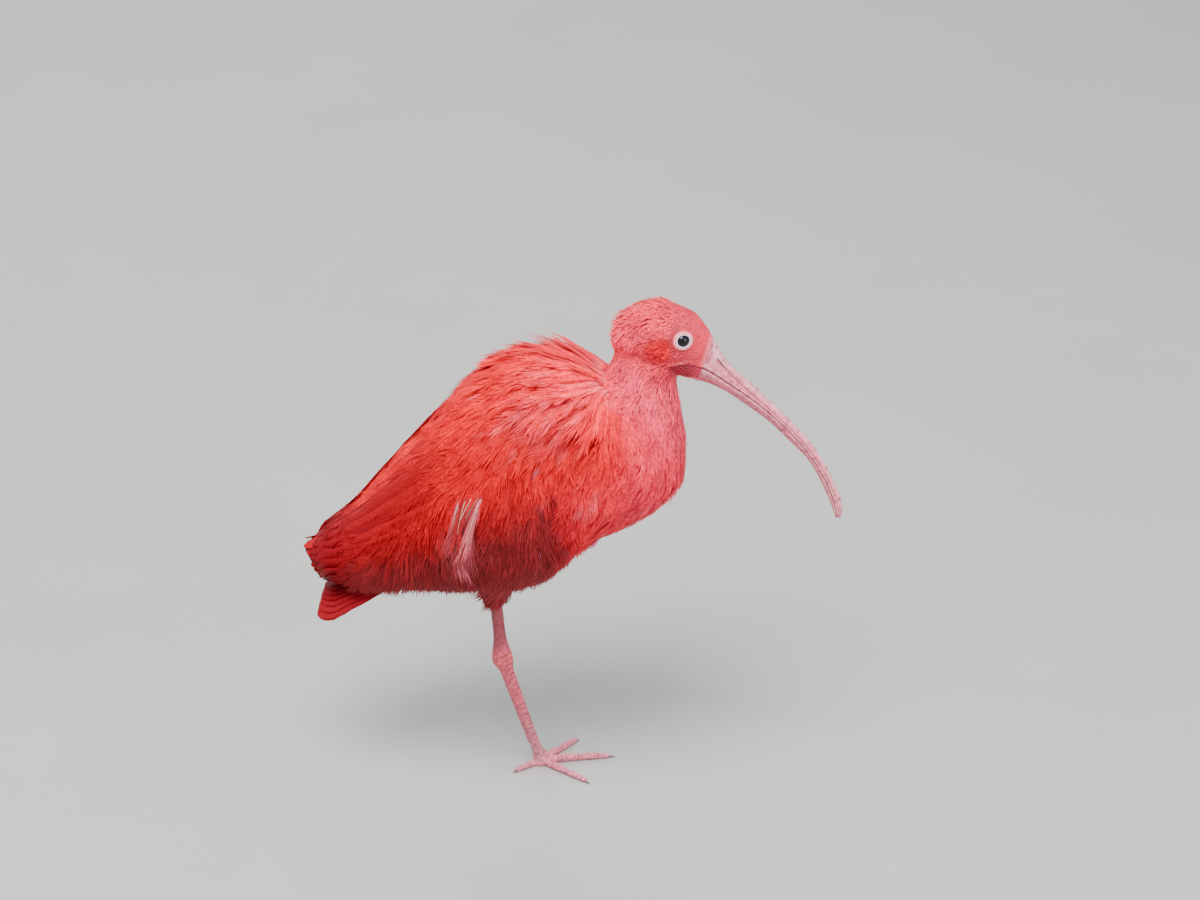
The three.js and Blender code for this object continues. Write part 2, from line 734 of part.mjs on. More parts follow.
// A toe along points, flat on the floor
function makeToe(points, halfWidths, heights) {
  const sections = points.map((point, i) => {
    const before = points[Math.max(i - 1, 0)];
    const after = points[Math.min(i + 1, points.length - 1)];
    const along = after.clone().sub(before).normalize();
    const side = UPWARD.clone().cross(along).normalize().multiplyScalar(halfWidths[i]);
    const up = UPWARD.clone().multiplyScalar(heights[i]);
    return TOE_SECTION.map(([a, b]) => point.clone().addScaledVector(side, a).addScaledVector(up, b));
  });
  return loft(sections);
}

function standingToe({ heading, length, pads, half }) {
  const way = vec(Math.cos(degrees(heading)), Math.sin(degrees(heading)), 0);
  const points = [];
  const widths = [];
  const heights = [];
  const steps = pads * 2 + 1;
  for (let i = 0; i <= steps; i += 1) {
    const share = (i / steps) * CLAW_START;
    const swell = i % 2 === 0 ? 0 : 0.5;
    points.push(way.clone().multiplyScalar(share * length));
    widths.push(THREE.MathUtils.lerp(half, half * 0.66, share) + swell);
    heights.push(THREE.MathUtils.lerp(half * 2.1, half * 1.3, share) + swell * 0.8);
  }
  for (const [share, halfWidth, height] of CLAW_ROWS) {
    points.push(way.clone().multiplyScalar(share * length));
    widths.push(halfWidth);
    heights.push(height);
  }
  return makeToe(points, widths, heights);
}

function makeStandingFoot() {
  const palm = new THREE.LatheGeometry(PALM_PROFILE.map(([radius, z]) => new THREE.Vector2(radius, z)), 14);
  palm.rotateX(Math.PI / 2);
  return join([solidOf(palm), ...TOES.map(standingToe)]);
}

// The drawn-up foot: front toes folded back below the tarsus, hind toe curled behind
function makeTuckedFoot() {
  const base = at(TUCKED_ANKLE);
  const palm = new THREE.SphereGeometry(TUCKED_PALM, 12, 8);
  const pieces = [solidOf(palm.translate(base.x + 3.5, base.y, base.z))];
  for (const [sideStep, length] of TUCKED_TOES) {
    const points = TUCKED_PATH.map(([x, z]) => (
      vec(base.x + x * length, base.y + sideStep * (1 + Math.abs(z) / 60), base.z + z * length)
    ));
    pieces.push(limb(points, TUCKED_HALVES, TUCKED_HALVES, 8, SIDEWAYS));
  }
  const hind = HIND_PATH.map(([x, z]) => vec(base.x + x, base.y + 0.5, base.z + z));
  pieces.push(limb(hind, HIND_HALVES, HIND_HALVES, 8, SIDEWAYS));
  return join(pieces);
}

// Parting the whole body

function above(solid, point, normal) {
  return trim(solid, point.clone().addScaledVector(normal, GAP / 2), normal);
}

function below(solid, point, normal) {
  return trim(solid, point.clone().addScaledVector(normal, -GAP / 2), normal.clone().negate());
}

const trunkRoom = makeTrunk(GAP);
const flesh = join([makeTrunk(0), makeNeck(), makeHead()]);
const neckFoot = at(NECK_FOOT);
const neckFootNormal = at(NECK_FOOT_NORMAL).normalize();
const headFoot = at(HEAD_FOOT);
const headFootNormal = at(HEAD_FOOT_NORMAL).normalize();
const billFoot = vec(BILL_BASE_TOP[0], 0, BILL_BASE_TOP[1]);
const billRise = vec(BILL_BASE_TOP[0] - BILL_BASE_LOW[0], 0, BILL_BASE_TOP[1] - BILL_BASE_LOW[1]);
const billNormal = SIDEWAYS.clone().cross(billRise).normalize();

const headFlesh = below(above(flesh, headFoot, headFootNormal), billFoot, billNormal);
const head = cutAll(
  join([headFlesh, ...SIDES.map(eyeLid)]),
  [...SIDES.map((side) => eyeBall(side, GAP)), ...SIDES.map(mouthCut)],
);
const neck = above(below(flesh, headFoot, headFootNormal), neckFoot, neckFootNormal);
const torso = join([below(flesh, neckFoot, neckFootNormal), ...backVanes(0)]);
const upperBill = cutAll(above(makeBill(upperBillSection), billFoot, billNormal), SIDES.map(nostril));
const lowerBill = above(makeBill(lowerBillSection), billFoot, billNormal);

const wingCutters = [trunkRoom, ...backVanes(GAP)];
const tail = cutAll(makeTail(), [trunkRoom]);
const thighRight = cutAll(makeThigh(THIGH_TOP_RIGHT, THIGH_END_RIGHT, THIGH_RADII_RIGHT, 0), [trunkRoom]);
const thighLeft = cutAll(makeThigh(THIGH_TOP_LEFT, THIGH_END_LEFT, THIGH_RADII_LEFT, 0), [trunkRoom]);

// The shank meets the tarsus on a plane a little above the middle of the hock
const shankWay = at(HOCK).sub(at(LEG_TOP)).normalize();
const shankStart = at(LEG_TOP).addScaledVector(shankWay, -SHANK_SUNK);
const hockFace = at(HOCK).addScaledVector(shankWay, -HOCK_FACE);
const shankRight = cutAll(
  below(makeShank(shankStart, at(HOCK)), hockFace, shankWay),
  [makeThigh(THIGH_TOP_RIGHT, THIGH_END_RIGHT, THIGH_RADII_RIGHT, GAP)],
);
const tarsusStart = at(HOCK).addScaledVector(shankWay, -HOCK_FACE - 1);
const tarsusWhole = makeTarsus(tarsusStart, at(ANKLE).add(ANKLE_SUNK));
const tarsusRight = above(above(tarsusWhole, hockFace, shankWay), vec(0, 0, SOLE_HEIGHT), UPWARD);
const footRight = below(makeStandingFoot(), vec(0, 0, SOLE_HEIGHT), UPWARD);

const tuckedWay = at(TUCKED_ANKLE).sub(at(TUCKED_HOCK)).normalize();
const tuckedFace = at(TUCKED_ANKLE).addScaledVector(tuckedWay, GAP);
const tarsusLeft = cutAll(
  makeTarsus(at(TUCKED_HOCK), at(TUCKED_ANKLE)),
  [trunkRoom, makeThigh(THIGH_TOP_LEFT, THIGH_END_LEFT, THIGH_RADII_LEFT, GAP)],
);
const footLeft = cutAll(above(makeTuckedFoot(), tuckedFace, tuckedWay), [trunkRoom]);

// Materials

function matte(colour, roughness) {
  return new THREE.MeshStandardMaterial({ color: colour, roughness, metalness: 0 });
}

const LOOKS = {
  feather: () => matte(0xe8504a, 0.75),
  deepFeather: () => matte(0xb52f30, 0.65),
  face: () => matte(0xea827f, 0.7),
  bill: () => matte(0xdfb4b4, 0.45),
  skin: () => matte(0xc98f92, 0.5),
  eye: () => matte(0x1d1a22, 0.05),
};

// Assembly: every part is a mesh whose place is set from the finished whole

const ibis = new THREE.Group();

function addPart(name, solid, look) {
  const mesh = largest(solid).getMesh();
  const geometry = new THREE.BufferGeometry();
  geometry.setAttribute('position', new THREE.Float32BufferAttribute(mesh.vertProperties, 3));
  geometry.setIndex(Array.from(mesh.triVerts));
  geometry.computeVertexNormals();
  const part = new THREE.Mesh(geometry, look());
  part.name = name;
  ibis.add(part);
}

addPart('head', head, LOOKS.face);
addPart('bill_upper', upperBill, LOOKS.bill);
addPart('bill_lower', lowerBill, LOOKS.bill);
addPart('eye_right', eyeBall(RIGHT, 0), LOOKS.eye);
addPart('eye_left', eyeBall(LEFT, 0), LOOKS.eye);
addPart('neck', neck, LOOKS.face);
addPart('torso', torso, LOOKS.feather);
addPart('wing_right', cutAll(makeWing(RIGHT), wingCutters), LOOKS.feather);
addPart('wing_left', cutAll(makeWing(LEFT), wingCutters), LOOKS.feather);
addPart('tail', tail, LOOKS.deepFeather);
addPart('leg_right_thigh', thighRight, LOOKS.deepFeather);
addPart('leg_right_shank', shankRight, LOOKS.skin);
addPart('leg_right_tarsus', tarsusRight, LOOKS.skin);
addPart('foot_right', footRight, LOOKS.skin);
addPart('leg_left_thigh', thighLeft, LOOKS.deepFeather);
addPart('leg_left_tarsus', tarsusLeft, LOOKS.skin);
addPart('foot_left', footLeft, LOOKS.skin);

// The origin is the bottom centre of the whole bird's box
const whole = new THREE.Box3().setFromObject(ibis);
ibis.position.set(-(whole.min.x + whole.max.x) / 2, -(whole.min.y + whole.max.y) / 2, -whole.min.z);
ibis.updateMatrixWorld(true);

export default ibis;
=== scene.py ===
"""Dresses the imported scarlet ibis: skin, plumage, flight feathers, face, bill, eyes and legs.

Lengths inside this script are millimetres in the bird's own frame: the middle of the standing
foot is the origin, +X is the way the bird faces, +Y its left side and +Z up. They become metres
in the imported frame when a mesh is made.
"""

from __future__ import annotations

import json
import logging
import math
from dataclasses import dataclass, field
from enum import Enum
from itertools import product

import bmesh
import bpy
import numpy as np
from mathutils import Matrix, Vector
from mathutils.bvhtree import BVHTree

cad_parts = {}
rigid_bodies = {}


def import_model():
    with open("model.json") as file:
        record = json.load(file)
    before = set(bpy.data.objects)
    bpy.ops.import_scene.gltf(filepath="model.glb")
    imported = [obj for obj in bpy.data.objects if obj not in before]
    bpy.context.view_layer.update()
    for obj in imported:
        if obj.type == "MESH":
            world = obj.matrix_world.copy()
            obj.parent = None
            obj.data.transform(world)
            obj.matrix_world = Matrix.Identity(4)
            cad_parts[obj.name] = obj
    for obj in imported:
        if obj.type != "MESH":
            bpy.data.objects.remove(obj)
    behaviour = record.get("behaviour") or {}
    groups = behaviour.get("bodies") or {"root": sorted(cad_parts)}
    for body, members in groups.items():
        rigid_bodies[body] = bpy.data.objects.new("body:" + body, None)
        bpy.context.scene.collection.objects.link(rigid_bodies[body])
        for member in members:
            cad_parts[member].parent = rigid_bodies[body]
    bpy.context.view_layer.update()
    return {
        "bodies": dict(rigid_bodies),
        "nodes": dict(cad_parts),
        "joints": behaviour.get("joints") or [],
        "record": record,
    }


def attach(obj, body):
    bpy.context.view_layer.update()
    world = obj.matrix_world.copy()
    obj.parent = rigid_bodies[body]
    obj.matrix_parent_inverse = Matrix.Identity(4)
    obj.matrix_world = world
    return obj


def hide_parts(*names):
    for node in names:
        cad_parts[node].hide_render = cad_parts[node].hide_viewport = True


LOG = logging.getLogger("ibis")
MM = 0.001
RIGHT = -1
LEFT = 1
SIDES = (RIGHT, LEFT)
BODY = "root"


def side_name(side: int) -> str:
    """Return the side in words."""
    return "left" if side == LEFT else "right"


# Numbers and vectors


def unit(vectors: np.ndarray) -> np.ndarray:
    """Return the vectors along the last axis scaled to length one."""
    return vectors / np.maximum(np.linalg.norm(vectors, axis=-1, keepdims=True), 1e-9)


def smooth(values: np.ndarray, low: float, high: float) -> np.ndarray:
    """Ease from 0 to 1 between two limits.

    Args:
        values: The numbers to ease.
        low: Where the result is 0.
        high: Where the result is 1; it may lie below low.

    Returns:
        The eased shares, in the shape of values.
    """
    share = np.clip((values - low) / (high - low), 0.0, 1.0)
    return share * share * (3.0 - 2.0 * share)


def bell(values: np.ndarray, middle: float | np.ndarray, width: float) -> np.ndarray:
    """Return 1 at the middle, falling away on both sides over about the width."""
    return np.exp(-(((values - middle) / width) ** 2))


def linear(red: int, green: int, blue: int) -> np.ndarray:
    """Turn a display colour of 0 to 255 into linear light.

    Args:
        red: Display red.
        green: Display green.
        blue: Display blue.

    Returns:
        Three linear values from 0 to 1.
    """
    share = np.array([red, green, blue], float) / 255.0
    return np.where(share <= 0.04045, share / 12.92, ((share + 0.055) / 1.055) ** 2.4)


class SmoothTable:
    """Values that run smoothly through the rows of a table whose first column is the key."""

    def __init__(self, rows: list[tuple[float, ...]]) -> None:
        """Keep the rows.

        Args:
            rows: Key and values, with rising keys.
        """
        table = np.array(rows, float)
        self.keys = table[:, 0]
        self.values = table[:, 1:]
        self.slopes = np.gradient(self.values, self.keys, axis=0)

    def at(self, keys: np.ndarray) -> np.ndarray:
        """Return the values at the keys.

        Args:
            keys: Any shape of keys.

        Returns:
            The values, with one more axis for the columns.
        """
        keys = np.clip(np.asarray(keys, float), self.keys[0], self.keys[-1])
        low = np.clip(np.searchsorted(self.keys, keys, side="right") - 1, 0, len(self.keys) - 2)
        span = (self.keys[low + 1] - self.keys[low])[..., None]
        t = (keys - self.keys[low])[..., None] / span
        start, end = self.values[low], self.values[low + 1]
        out, into = self.slopes[low] * span, self.slopes[low + 1] * span
        return (
            start * (2 * t**3 - 3 * t**2 + 1)
            + out * (t**3 - 2 * t**2 + t)
            + end * (-2 * t**3 + 3 * t**2)
            + into * (t**3 - t**2)
        )


def spline(points: np.ndarray, count: int) -> np.ndarray:
    """Run a smooth curve through points.

    Args:
        points: The points, one row each.
        count: How many points to return, evenly spaced along the curve.

    Returns:
        The curve's points.
    """
    points = np.asarray(points, float)
    steps = np.linalg.norm(np.diff(points, axis=0), axis=1)
    table = SmoothTable([(k, *p) for k, p in zip(np.concatenate([[0], np.cumsum(steps)]), points)])
    return table.at(np.linspace(0, steps.sum(), count))


# Palette, in display colours as seen on the bird in soft light; some tones also hold painted shade or
# painted highlights, as marked


class Tone(Enum):
    """Named colours of the bird."""

    CROWN = (243, 58, 82)
    CHEEK = (243, 56, 80)
    EAR = (232, 24, 42)
    NECK = (245, 66, 96)
    BREAST = (244, 48, 76)
    SHOULDER = (241, 26, 50)
    MANTLE = (229, 9, 28)
    SCAPULAR = (206, 8, 24)
    # Flank and belly: the plumage's red, darkened as painted shade under the folded wing and the belly
    FLANK = (134, 34, 38)
    BELLY = (138, 46, 50)
    WING = (158, 10, 21)
    WING_TIP = (128, 10, 22)
    TAIL = (134, 14, 26)
    # Thighs: the plumage's red, darkened as painted shade under the overhanging flank feathers
    THIGH = (146, 44, 50)
    PALE = (250, 150, 166)
    QUILL = (250, 214, 190)
    INK = (26, 16, 18)
    CRIMSON = (158, 0, 30)
    # Painted shade in the troughs and painted highlight on the ridges of the crimson patch's fine folds
    CRIMSON_FOLD_SHADE = (84, 2, 20)
    CRIMSON_RIDGE_HIGHLIGHT = (240, 60, 104)
    CRIMSON_FRONT = (236, 64, 98)
    LORE = (240, 110, 126)
    THROAT = (240, 100, 118)
    LIP = (244, 122, 138)
    GAPE = (110, 16, 34)
    LID = (236, 210, 224)
    LID_LINE = (236, 84, 104)
    LID_FOLD = (240, 168, 184)
    IRIS = (16, 15, 30)
    IRIS_RIM = (12, 10, 16)
    HORN = (224, 112, 134)
    HORN_BASE = (224, 132, 146)
    HORN_TIP = (232, 140, 150)
    # Painted highlight on the bill's culmen and ridges
    HORN_HIGHLIGHT = (240, 176, 186)
    # Painted shade in the bill's groove, nostril and mouth line, and the horn's own dark spots
    HORN_FLUSH = (206, 44, 74)
    HORN_SHADE_AND_SPOTS = (96, 34, 44)
    HORN_MOTTLE = (158, 66, 80)
    LEG = (208, 86, 102)
    # The leg's pink darkened as painted shade under the body
    SHANK_SHADE = (150, 60, 68)
    HOCK = (222, 84, 96)
    TARSUS = (190, 112, 124)
    FOOT = (222, 120, 140)
    SEAM = (112, 52, 58)
    CLAW = (136, 100, 98)
    CLAW_ROOT = (92, 66, 66)

    def light(self) -> np.ndarray:
        """Return the colour as linear light."""
        return linear(*self.value)


def blend(base: Tone | np.ndarray, *layers: tuple) -> np.ndarray:
    """Lay colours or ways over a first one, one after another.

    Args:
        base: What lies lowest: one row for all points, or a row for each.
        layers: Pairs of a share per point and the tone or rows that it brings.

    Returns:
        One row per point.
    """
    result = base.light() if isinstance(base, Tone) else base
    for share, value in layers:
        value = value.light() if isinstance(value, Tone) else value
        result = result * (1 - share[:, None]) + value * share[:, None]
    return result


# The bird's form


@dataclass(frozen=True)
class BodyForm:
    """The closed plumage and the flesh under it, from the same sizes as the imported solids."""

    plumage: tuple = (
        (-172, 167, 8, 8),
        (-157, 170, 17.5, 21),
        (-127, 181, 32, 34),
        (-86, 206.5, 54.5, 49),
        (-43, 229.5, 78.5, 60),
        (-12, 240, 89, 62),
        (8, 245, 85, 62),
        (24, 252, 75, 61),
        (42, 254.5, 65.5, 59),
        (70, 254, 51, 50),
        (88, 251, 34, 37),
        (99, 249, 19, 21),
        (104, 248, 5, 6),
    )
    neck: tuple = (
        (12, 262, 98, 226, 44),
        (30, 288, 104, 252, 37),
        (43, 308, 102, 276, 28),
        (49, 322, 98.5, 296, 23),
        (53, 336, 98, 312, 20),
        (60, 348, 100, 326, 15),
    )
    head: tuple = (
        (52, 339, 3, 3),
        (54.5, 339.5, 10, 9),
        (60, 341, 16.5, 14),
        (68, 342.5, 21, 17.5),
        (78, 343.5, 23.8, 20),
        (90, 342, 25.5, 19.8),
        (102, 336.5, 26.5, 16.8),
        (112, 330.5, 25.5, 13),
        (119, 325, 22, 10.8),
        (126, 318, 17, 9),
    )
    rump_start: float = -72.0
    rump_end: float = -127.0
    thigh_right: tuple = ((-26, -24, 182), (-31.9, -18.5, 146))
    thigh_right_radii: tuple = (17, 15.5, 13.4, 10.8, 7)
    thigh_left: tuple = ((-2, 30, 186), (-37.1, 32.3, 158.7))
    thigh_left_radii: tuple = (15, 14, 12, 9.5, 6.6)
    trunk_coat: float = 4.0
    neck_coat: float = 2.6
    head_coat: float = 0.9
    thigh_coat: float = 2.6

    def stations(self, x: np.ndarray) -> tuple[np.ndarray, np.ndarray, np.ndarray]:
        """Return the plumage's middle height, half height and half width.

        Args:
            x: Places along the body.

        Returns:
            Three arrays in the shape of x.
        """
        values = SmoothTable(list(self.plumage)).at(x)
        return values[..., 0], values[..., 1], values[..., 2]

    def surface(self, x: np.ndarray, angle: np.ndarray, side: int, height: np.ndarray) -> np.ndarray:
        """Return points on the plumage.

        Args:
            x: Places along the body.
            angle: Degrees from the top of the back.
            side: The side of the body.
            height: Distance outside the plumage.

        Returns:
            The points, one row each.
        """
        middle, half_height, half_width = self.stations(x)
        across, upward = np.sin(np.radians(angle)), np.cos(np.radians(angle))
        slant = np.hypot(across / half_width, upward / half_height)
        y = side * (half_width * across + height * across / half_width / slant)
        z = middle + half_height * upward + height * upward / half_height / slant
        return np.stack(np.broadcast_arrays(x, y, z), axis=-1)

    def angle_at(self, points: np.ndarray) -> np.ndarray:
        """Return each point's angle from the top of the back, in degrees.

        Args:
            points: Rows of points.

        Returns:
            The angles.
        """
        middle, half_height, half_width = self.stations(points[:, 0])
        across = np.abs(points[:, 1]) / half_width
        upward = (points[:, 2] - middle) / half_height
        return np.degrees(np.arctan2(across, upward))


FORM = BodyForm()


def drift(points: np.ndarray, wave: float, phase: float) -> np.ndarray:
    """Return a slow smooth wander over the body.

    Args:
        points: Rows of points.
        wave: Its typical wavelength in millimetres.
        phase: A number that tells one wander from another.

    Returns:
        Values from about -1 to 1.
    """
    total = np.zeros(len(points))
    for k, way in enumerate(((1.0, 0.6, 0.3), (-0.5, 0.9, 0.8), (0.2, -0.7, 1.1), (1.3, 0.2, -0.9))):
        along = points @ np.array(way) * (1 + 0.23 * k)
        total += np.sin(along * 2 * math.pi / wave + phase * (k + 1.7))
    return total / 2.6


def wing_top(x: np.ndarray) -> np.ndarray:
    """Return the angle from the top at which the folded wing starts."""
    return 46.0 + (np.asarray(x, float) - 60.0) * (5.0 - 46.0) / (-140.0 - 60.0)


def wing_foot(x: np.ndarray) -> np.ndarray:
    """Return the angle from the top at which the folded wing ends."""
    return np.clip(104.0 + (np.asarray(x, float) - 60.0) * (142.0 - 104.0) / -120.0, 104.0, 150.0)


# Meshes

# What Blender calls the kind and the values of each layer
LAYERS = {
    "tone": ("FLOAT_COLOR", "color"),
    "draw": ("FLOAT", "value"),
    "barbs": ("FLOAT_VECTOR", "vector"),
}


@dataclass
class Buffer:
    """Points, faces and per-point values gathered for one mesh."""

    points: list[np.ndarray] = field(default_factory=list)
    faces: list[np.ndarray] = field(default_factory=list)
    layers: dict[str, list[np.ndarray]] = field(default_factory=dict)
    total: int = 0

    def add(self, points: np.ndarray, faces: np.ndarray, **layers: np.ndarray) -> None:
        """Add one batch.

        Args:
            points: Rows of x, y and z in millimetres.
            faces: Rows of point numbers within this batch, three or four each.
            layers: Values per point, by the names in LAYERS, and patch for the unwrap.
        """
        self.points.append(points)
        self.faces.append(faces + self.total)
        for name, values in layers.items():
            self.layers.setdefault(name, []).append(values)
        self.total += len(points)


def write_layer(data: bpy.types.Mesh, name: str, values: np.ndarray) -> None:
    """Write one value per point into a new layer of a mesh.

    Args:
        data: The mesh.
        name: The layer's name, one of LAYERS.
        values: A row or a number per point.
    """
    kind, part = LAYERS[name]
    layer = data.attributes.new(name, kind, "POINT")
    layer.data.foreach_set(part, values.astype(np.float32).ravel())


def opaque(colours: np.ndarray) -> np.ndarray:
    """Return colours with a fourth value of one."""
    return np.hstack([colours, np.ones((len(colours), 1))])


def show(name: str, data: bpy.types.ID) -> bpy.types.Object:
    """Put an object with this data into the scene.

    Args:
        name: The object's name.
        data: Its mesh, camera or light.

    Returns:
        The object.
    """
    made = bpy.data.objects.new(name, data)
    bpy.context.scene.collection.objects.link(made)
    return made


class Workshop:
    """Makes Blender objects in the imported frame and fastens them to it."""

    def __init__(self, frame: dict) -> None:
        """Find the foot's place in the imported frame.
        """
        mounts = {m["name"]: m for m in frame["record"]["mounts"]}
        self.foot = np.array(mounts["sole"]["pos_m"], float)

    def place(self, points: np.ndarray) -> np.ndarray:
        """Turn millimetres in the bird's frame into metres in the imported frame."""
        return np.asarray(points, float) * MM + self.foot

    def points_of(self, data: bpy.types.Mesh) -> np.ndarray:
        """Return a mesh's points in millimetres in the bird's frame.

        Args:
            data: The mesh.

        Returns:
            The points, one row each.
        """
        flat = np.empty(len(data.vertices) * 3)
        data.vertices.foreach_get("co", flat)
        return (flat.reshape(-1, 3) - self.foot) / MM

    def reshape(self, data: bpy.types.Mesh, points: np.ndarray) -> None:
        """Move a mesh's points and shade it smooth.

        Args:
            data: The mesh.
            points: Its new points in millimetres.
        """
        data.vertices.foreach_set("co", self.place(points).ravel())
        data.polygons.foreach_set("use_smooth", np.ones(len(data.polygons), bool))
        data.update()

    def mesh(self, name: str, points: np.ndarray, faces: list[list[int]]) -> bpy.types.Object:
        """Make an object from points and faces.

        Args:
            name: The object's name.
            points: Rows of x, y and z in millimetres.
            faces: Rows of point numbers.

        Returns:
            The new object, shaded smooth.
        """
        data = bpy.data.meshes.new(name)
        data.from_pydata(self.place(points), [], faces)
        data.update()
        data.polygons.foreach_set("use_smooth", np.ones(len(data.polygons), bool))
        return show(name, data)

    def from_buffer(self, name: str, buffer: Buffer) -> bpy.types.Object:
        """Make an object of many small faces, all with the same number of corners.

        Args:
            name: The object's name.
            buffer: What the mesh holds.

        Returns:
            The new object, with its layers and, where it has patches, its OFBake map.
        """
        points = self.place(np.concatenate(buffer.points)).astype(np.float32)
        faces = np.concatenate(buffer.faces).astype(np.int32)
        data = bpy.data.meshes.new(name)
        data.vertices.add(len(points))
        data.vertices.foreach_set("co", points.ravel())
        data.loops.add(faces.size)
        data.loops.foreach_set("vertex_index", faces.ravel())
        data.polygons.add(len(faces))
        starts = np.arange(0, faces.size, faces.shape[1], dtype=np.int32)
        data.polygons.foreach_set("loop_start", starts)
        data.update(calc_edges=True)
        data.polygons.foreach_set("use_smooth", np.ones(len(faces), bool))
        layers = {key: np.concatenate(parts) for key, parts in buffer.layers.items()}
        patch = layers.pop("patch", None)
        for key, values in layers.items():
            write_layer(data, key, values)
        if patch is not None:
            spots = patch.astype(np.float32)[faces.ravel()]
            data.uv_layers.new(name="OFBake").data.foreach_set("uv", spots.ravel())
        return show(name, data)

    def fuse(self, name: str, points: np.ndarray, faces: list[list[int]], voxel: float,
             relaxing: int) -> bpy.types.Object:
        """Make one closed skin of parts that run into each other.

        Args:
            name: The object's name.
            points: Rows of x, y and z in millimetres.
            faces: Rows of point numbers.
            voxel: The remesh's cell in millimetres.
            relaxing: Rounds of smoothing.

        Returns:
            The new object.
        """
        piece = self.mesh(name, points, faces)
        remesh = piece.modifiers.new("join", "REMESH")
        remesh.mode = "VOXEL"
        remesh.voxel_size = voxel * MM
        piece.modifiers.new("relax", "SMOOTH").iterations = relaxing
        graph = bpy.context.evaluated_depsgraph_get()
        made = bpy.data.meshes.new_from_object(piece.evaluated_get(graph))
        old = piece.data
        piece.modifiers.clear()
        piece.data = made
        bpy.data.meshes.remove(old)
        return piece

    def fasten(self, piece: bpy.types.Object, slot: str, *nodes: str) -> bpy.types.Object:
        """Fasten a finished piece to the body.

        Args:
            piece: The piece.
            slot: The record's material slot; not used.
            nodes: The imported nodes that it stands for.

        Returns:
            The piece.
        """
        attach(piece, BODY)
        if nodes:
            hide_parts(*nodes)
        return piece


def loft(rings: list[np.ndarray]) -> tuple[np.ndarray, list[list[int]]]:
    """Skin a stack of rings into a closed tube.

    Args:
        rings: Rings with the same number of points each.

    Returns:
        Points and faces.
    """
    count = len(rings[0])
    points = np.concatenate(rings)
    faces = []
    for row in range(len(rings) - 1):
        for k in range(count):
            a, b = row * count + k, row * count + (k + 1) % count
            faces.append([a, b, b + count, a + count])
    faces.append(list(range(count))[::-1])
    faces.append([(len(rings) - 1) * count + k for k in range(count)])
    return points, faces


def merge(parts: list[tuple]) -> tuple[np.ndarray, list[list[int]]]:
    """Join meshes into one list of points and one of faces.

    Args:
        parts: Points and faces of each.

    Returns:
        Points and faces.
    """
    points, faces, base = [], [], 0
    for part_points, part_faces in parts:
        points.append(part_points)
        faces.extend([[i + base for i in face] for face in part_faces])
        base += len(part_points)
    return np.concatenate(points), faces


def tube(path: np.ndarray, wide: np.ndarray, deep: np.ndarray, count: int,
         width_axis: tuple = (0, 1, 0)) -> tuple:
    """Make a tube with an oval section along a path.

    Args:
        path: The tube's middle.
        wide: Half width at each point of the path.
        deep: Half depth at each point.
        count: Points round a section.
        width_axis: The way the width runs.

    Returns:
        Points and faces.
    """
    along = unit(np.gradient(path, axis=0))
    depth = unit(np.cross(along, np.array(width_axis, float)))
    width = unit(np.cross(depth, along))
    turn = np.linspace(0, 2 * np.pi, count, endpoint=False)
    rings = [
        path[i] + np.outer(np.cos(turn), width[i]) * wide[i] + np.outer(np.sin(turn), depth[i]) * deep[i]
        for i in range(len(path))
    ]
    return loft(rings)


# Finishes


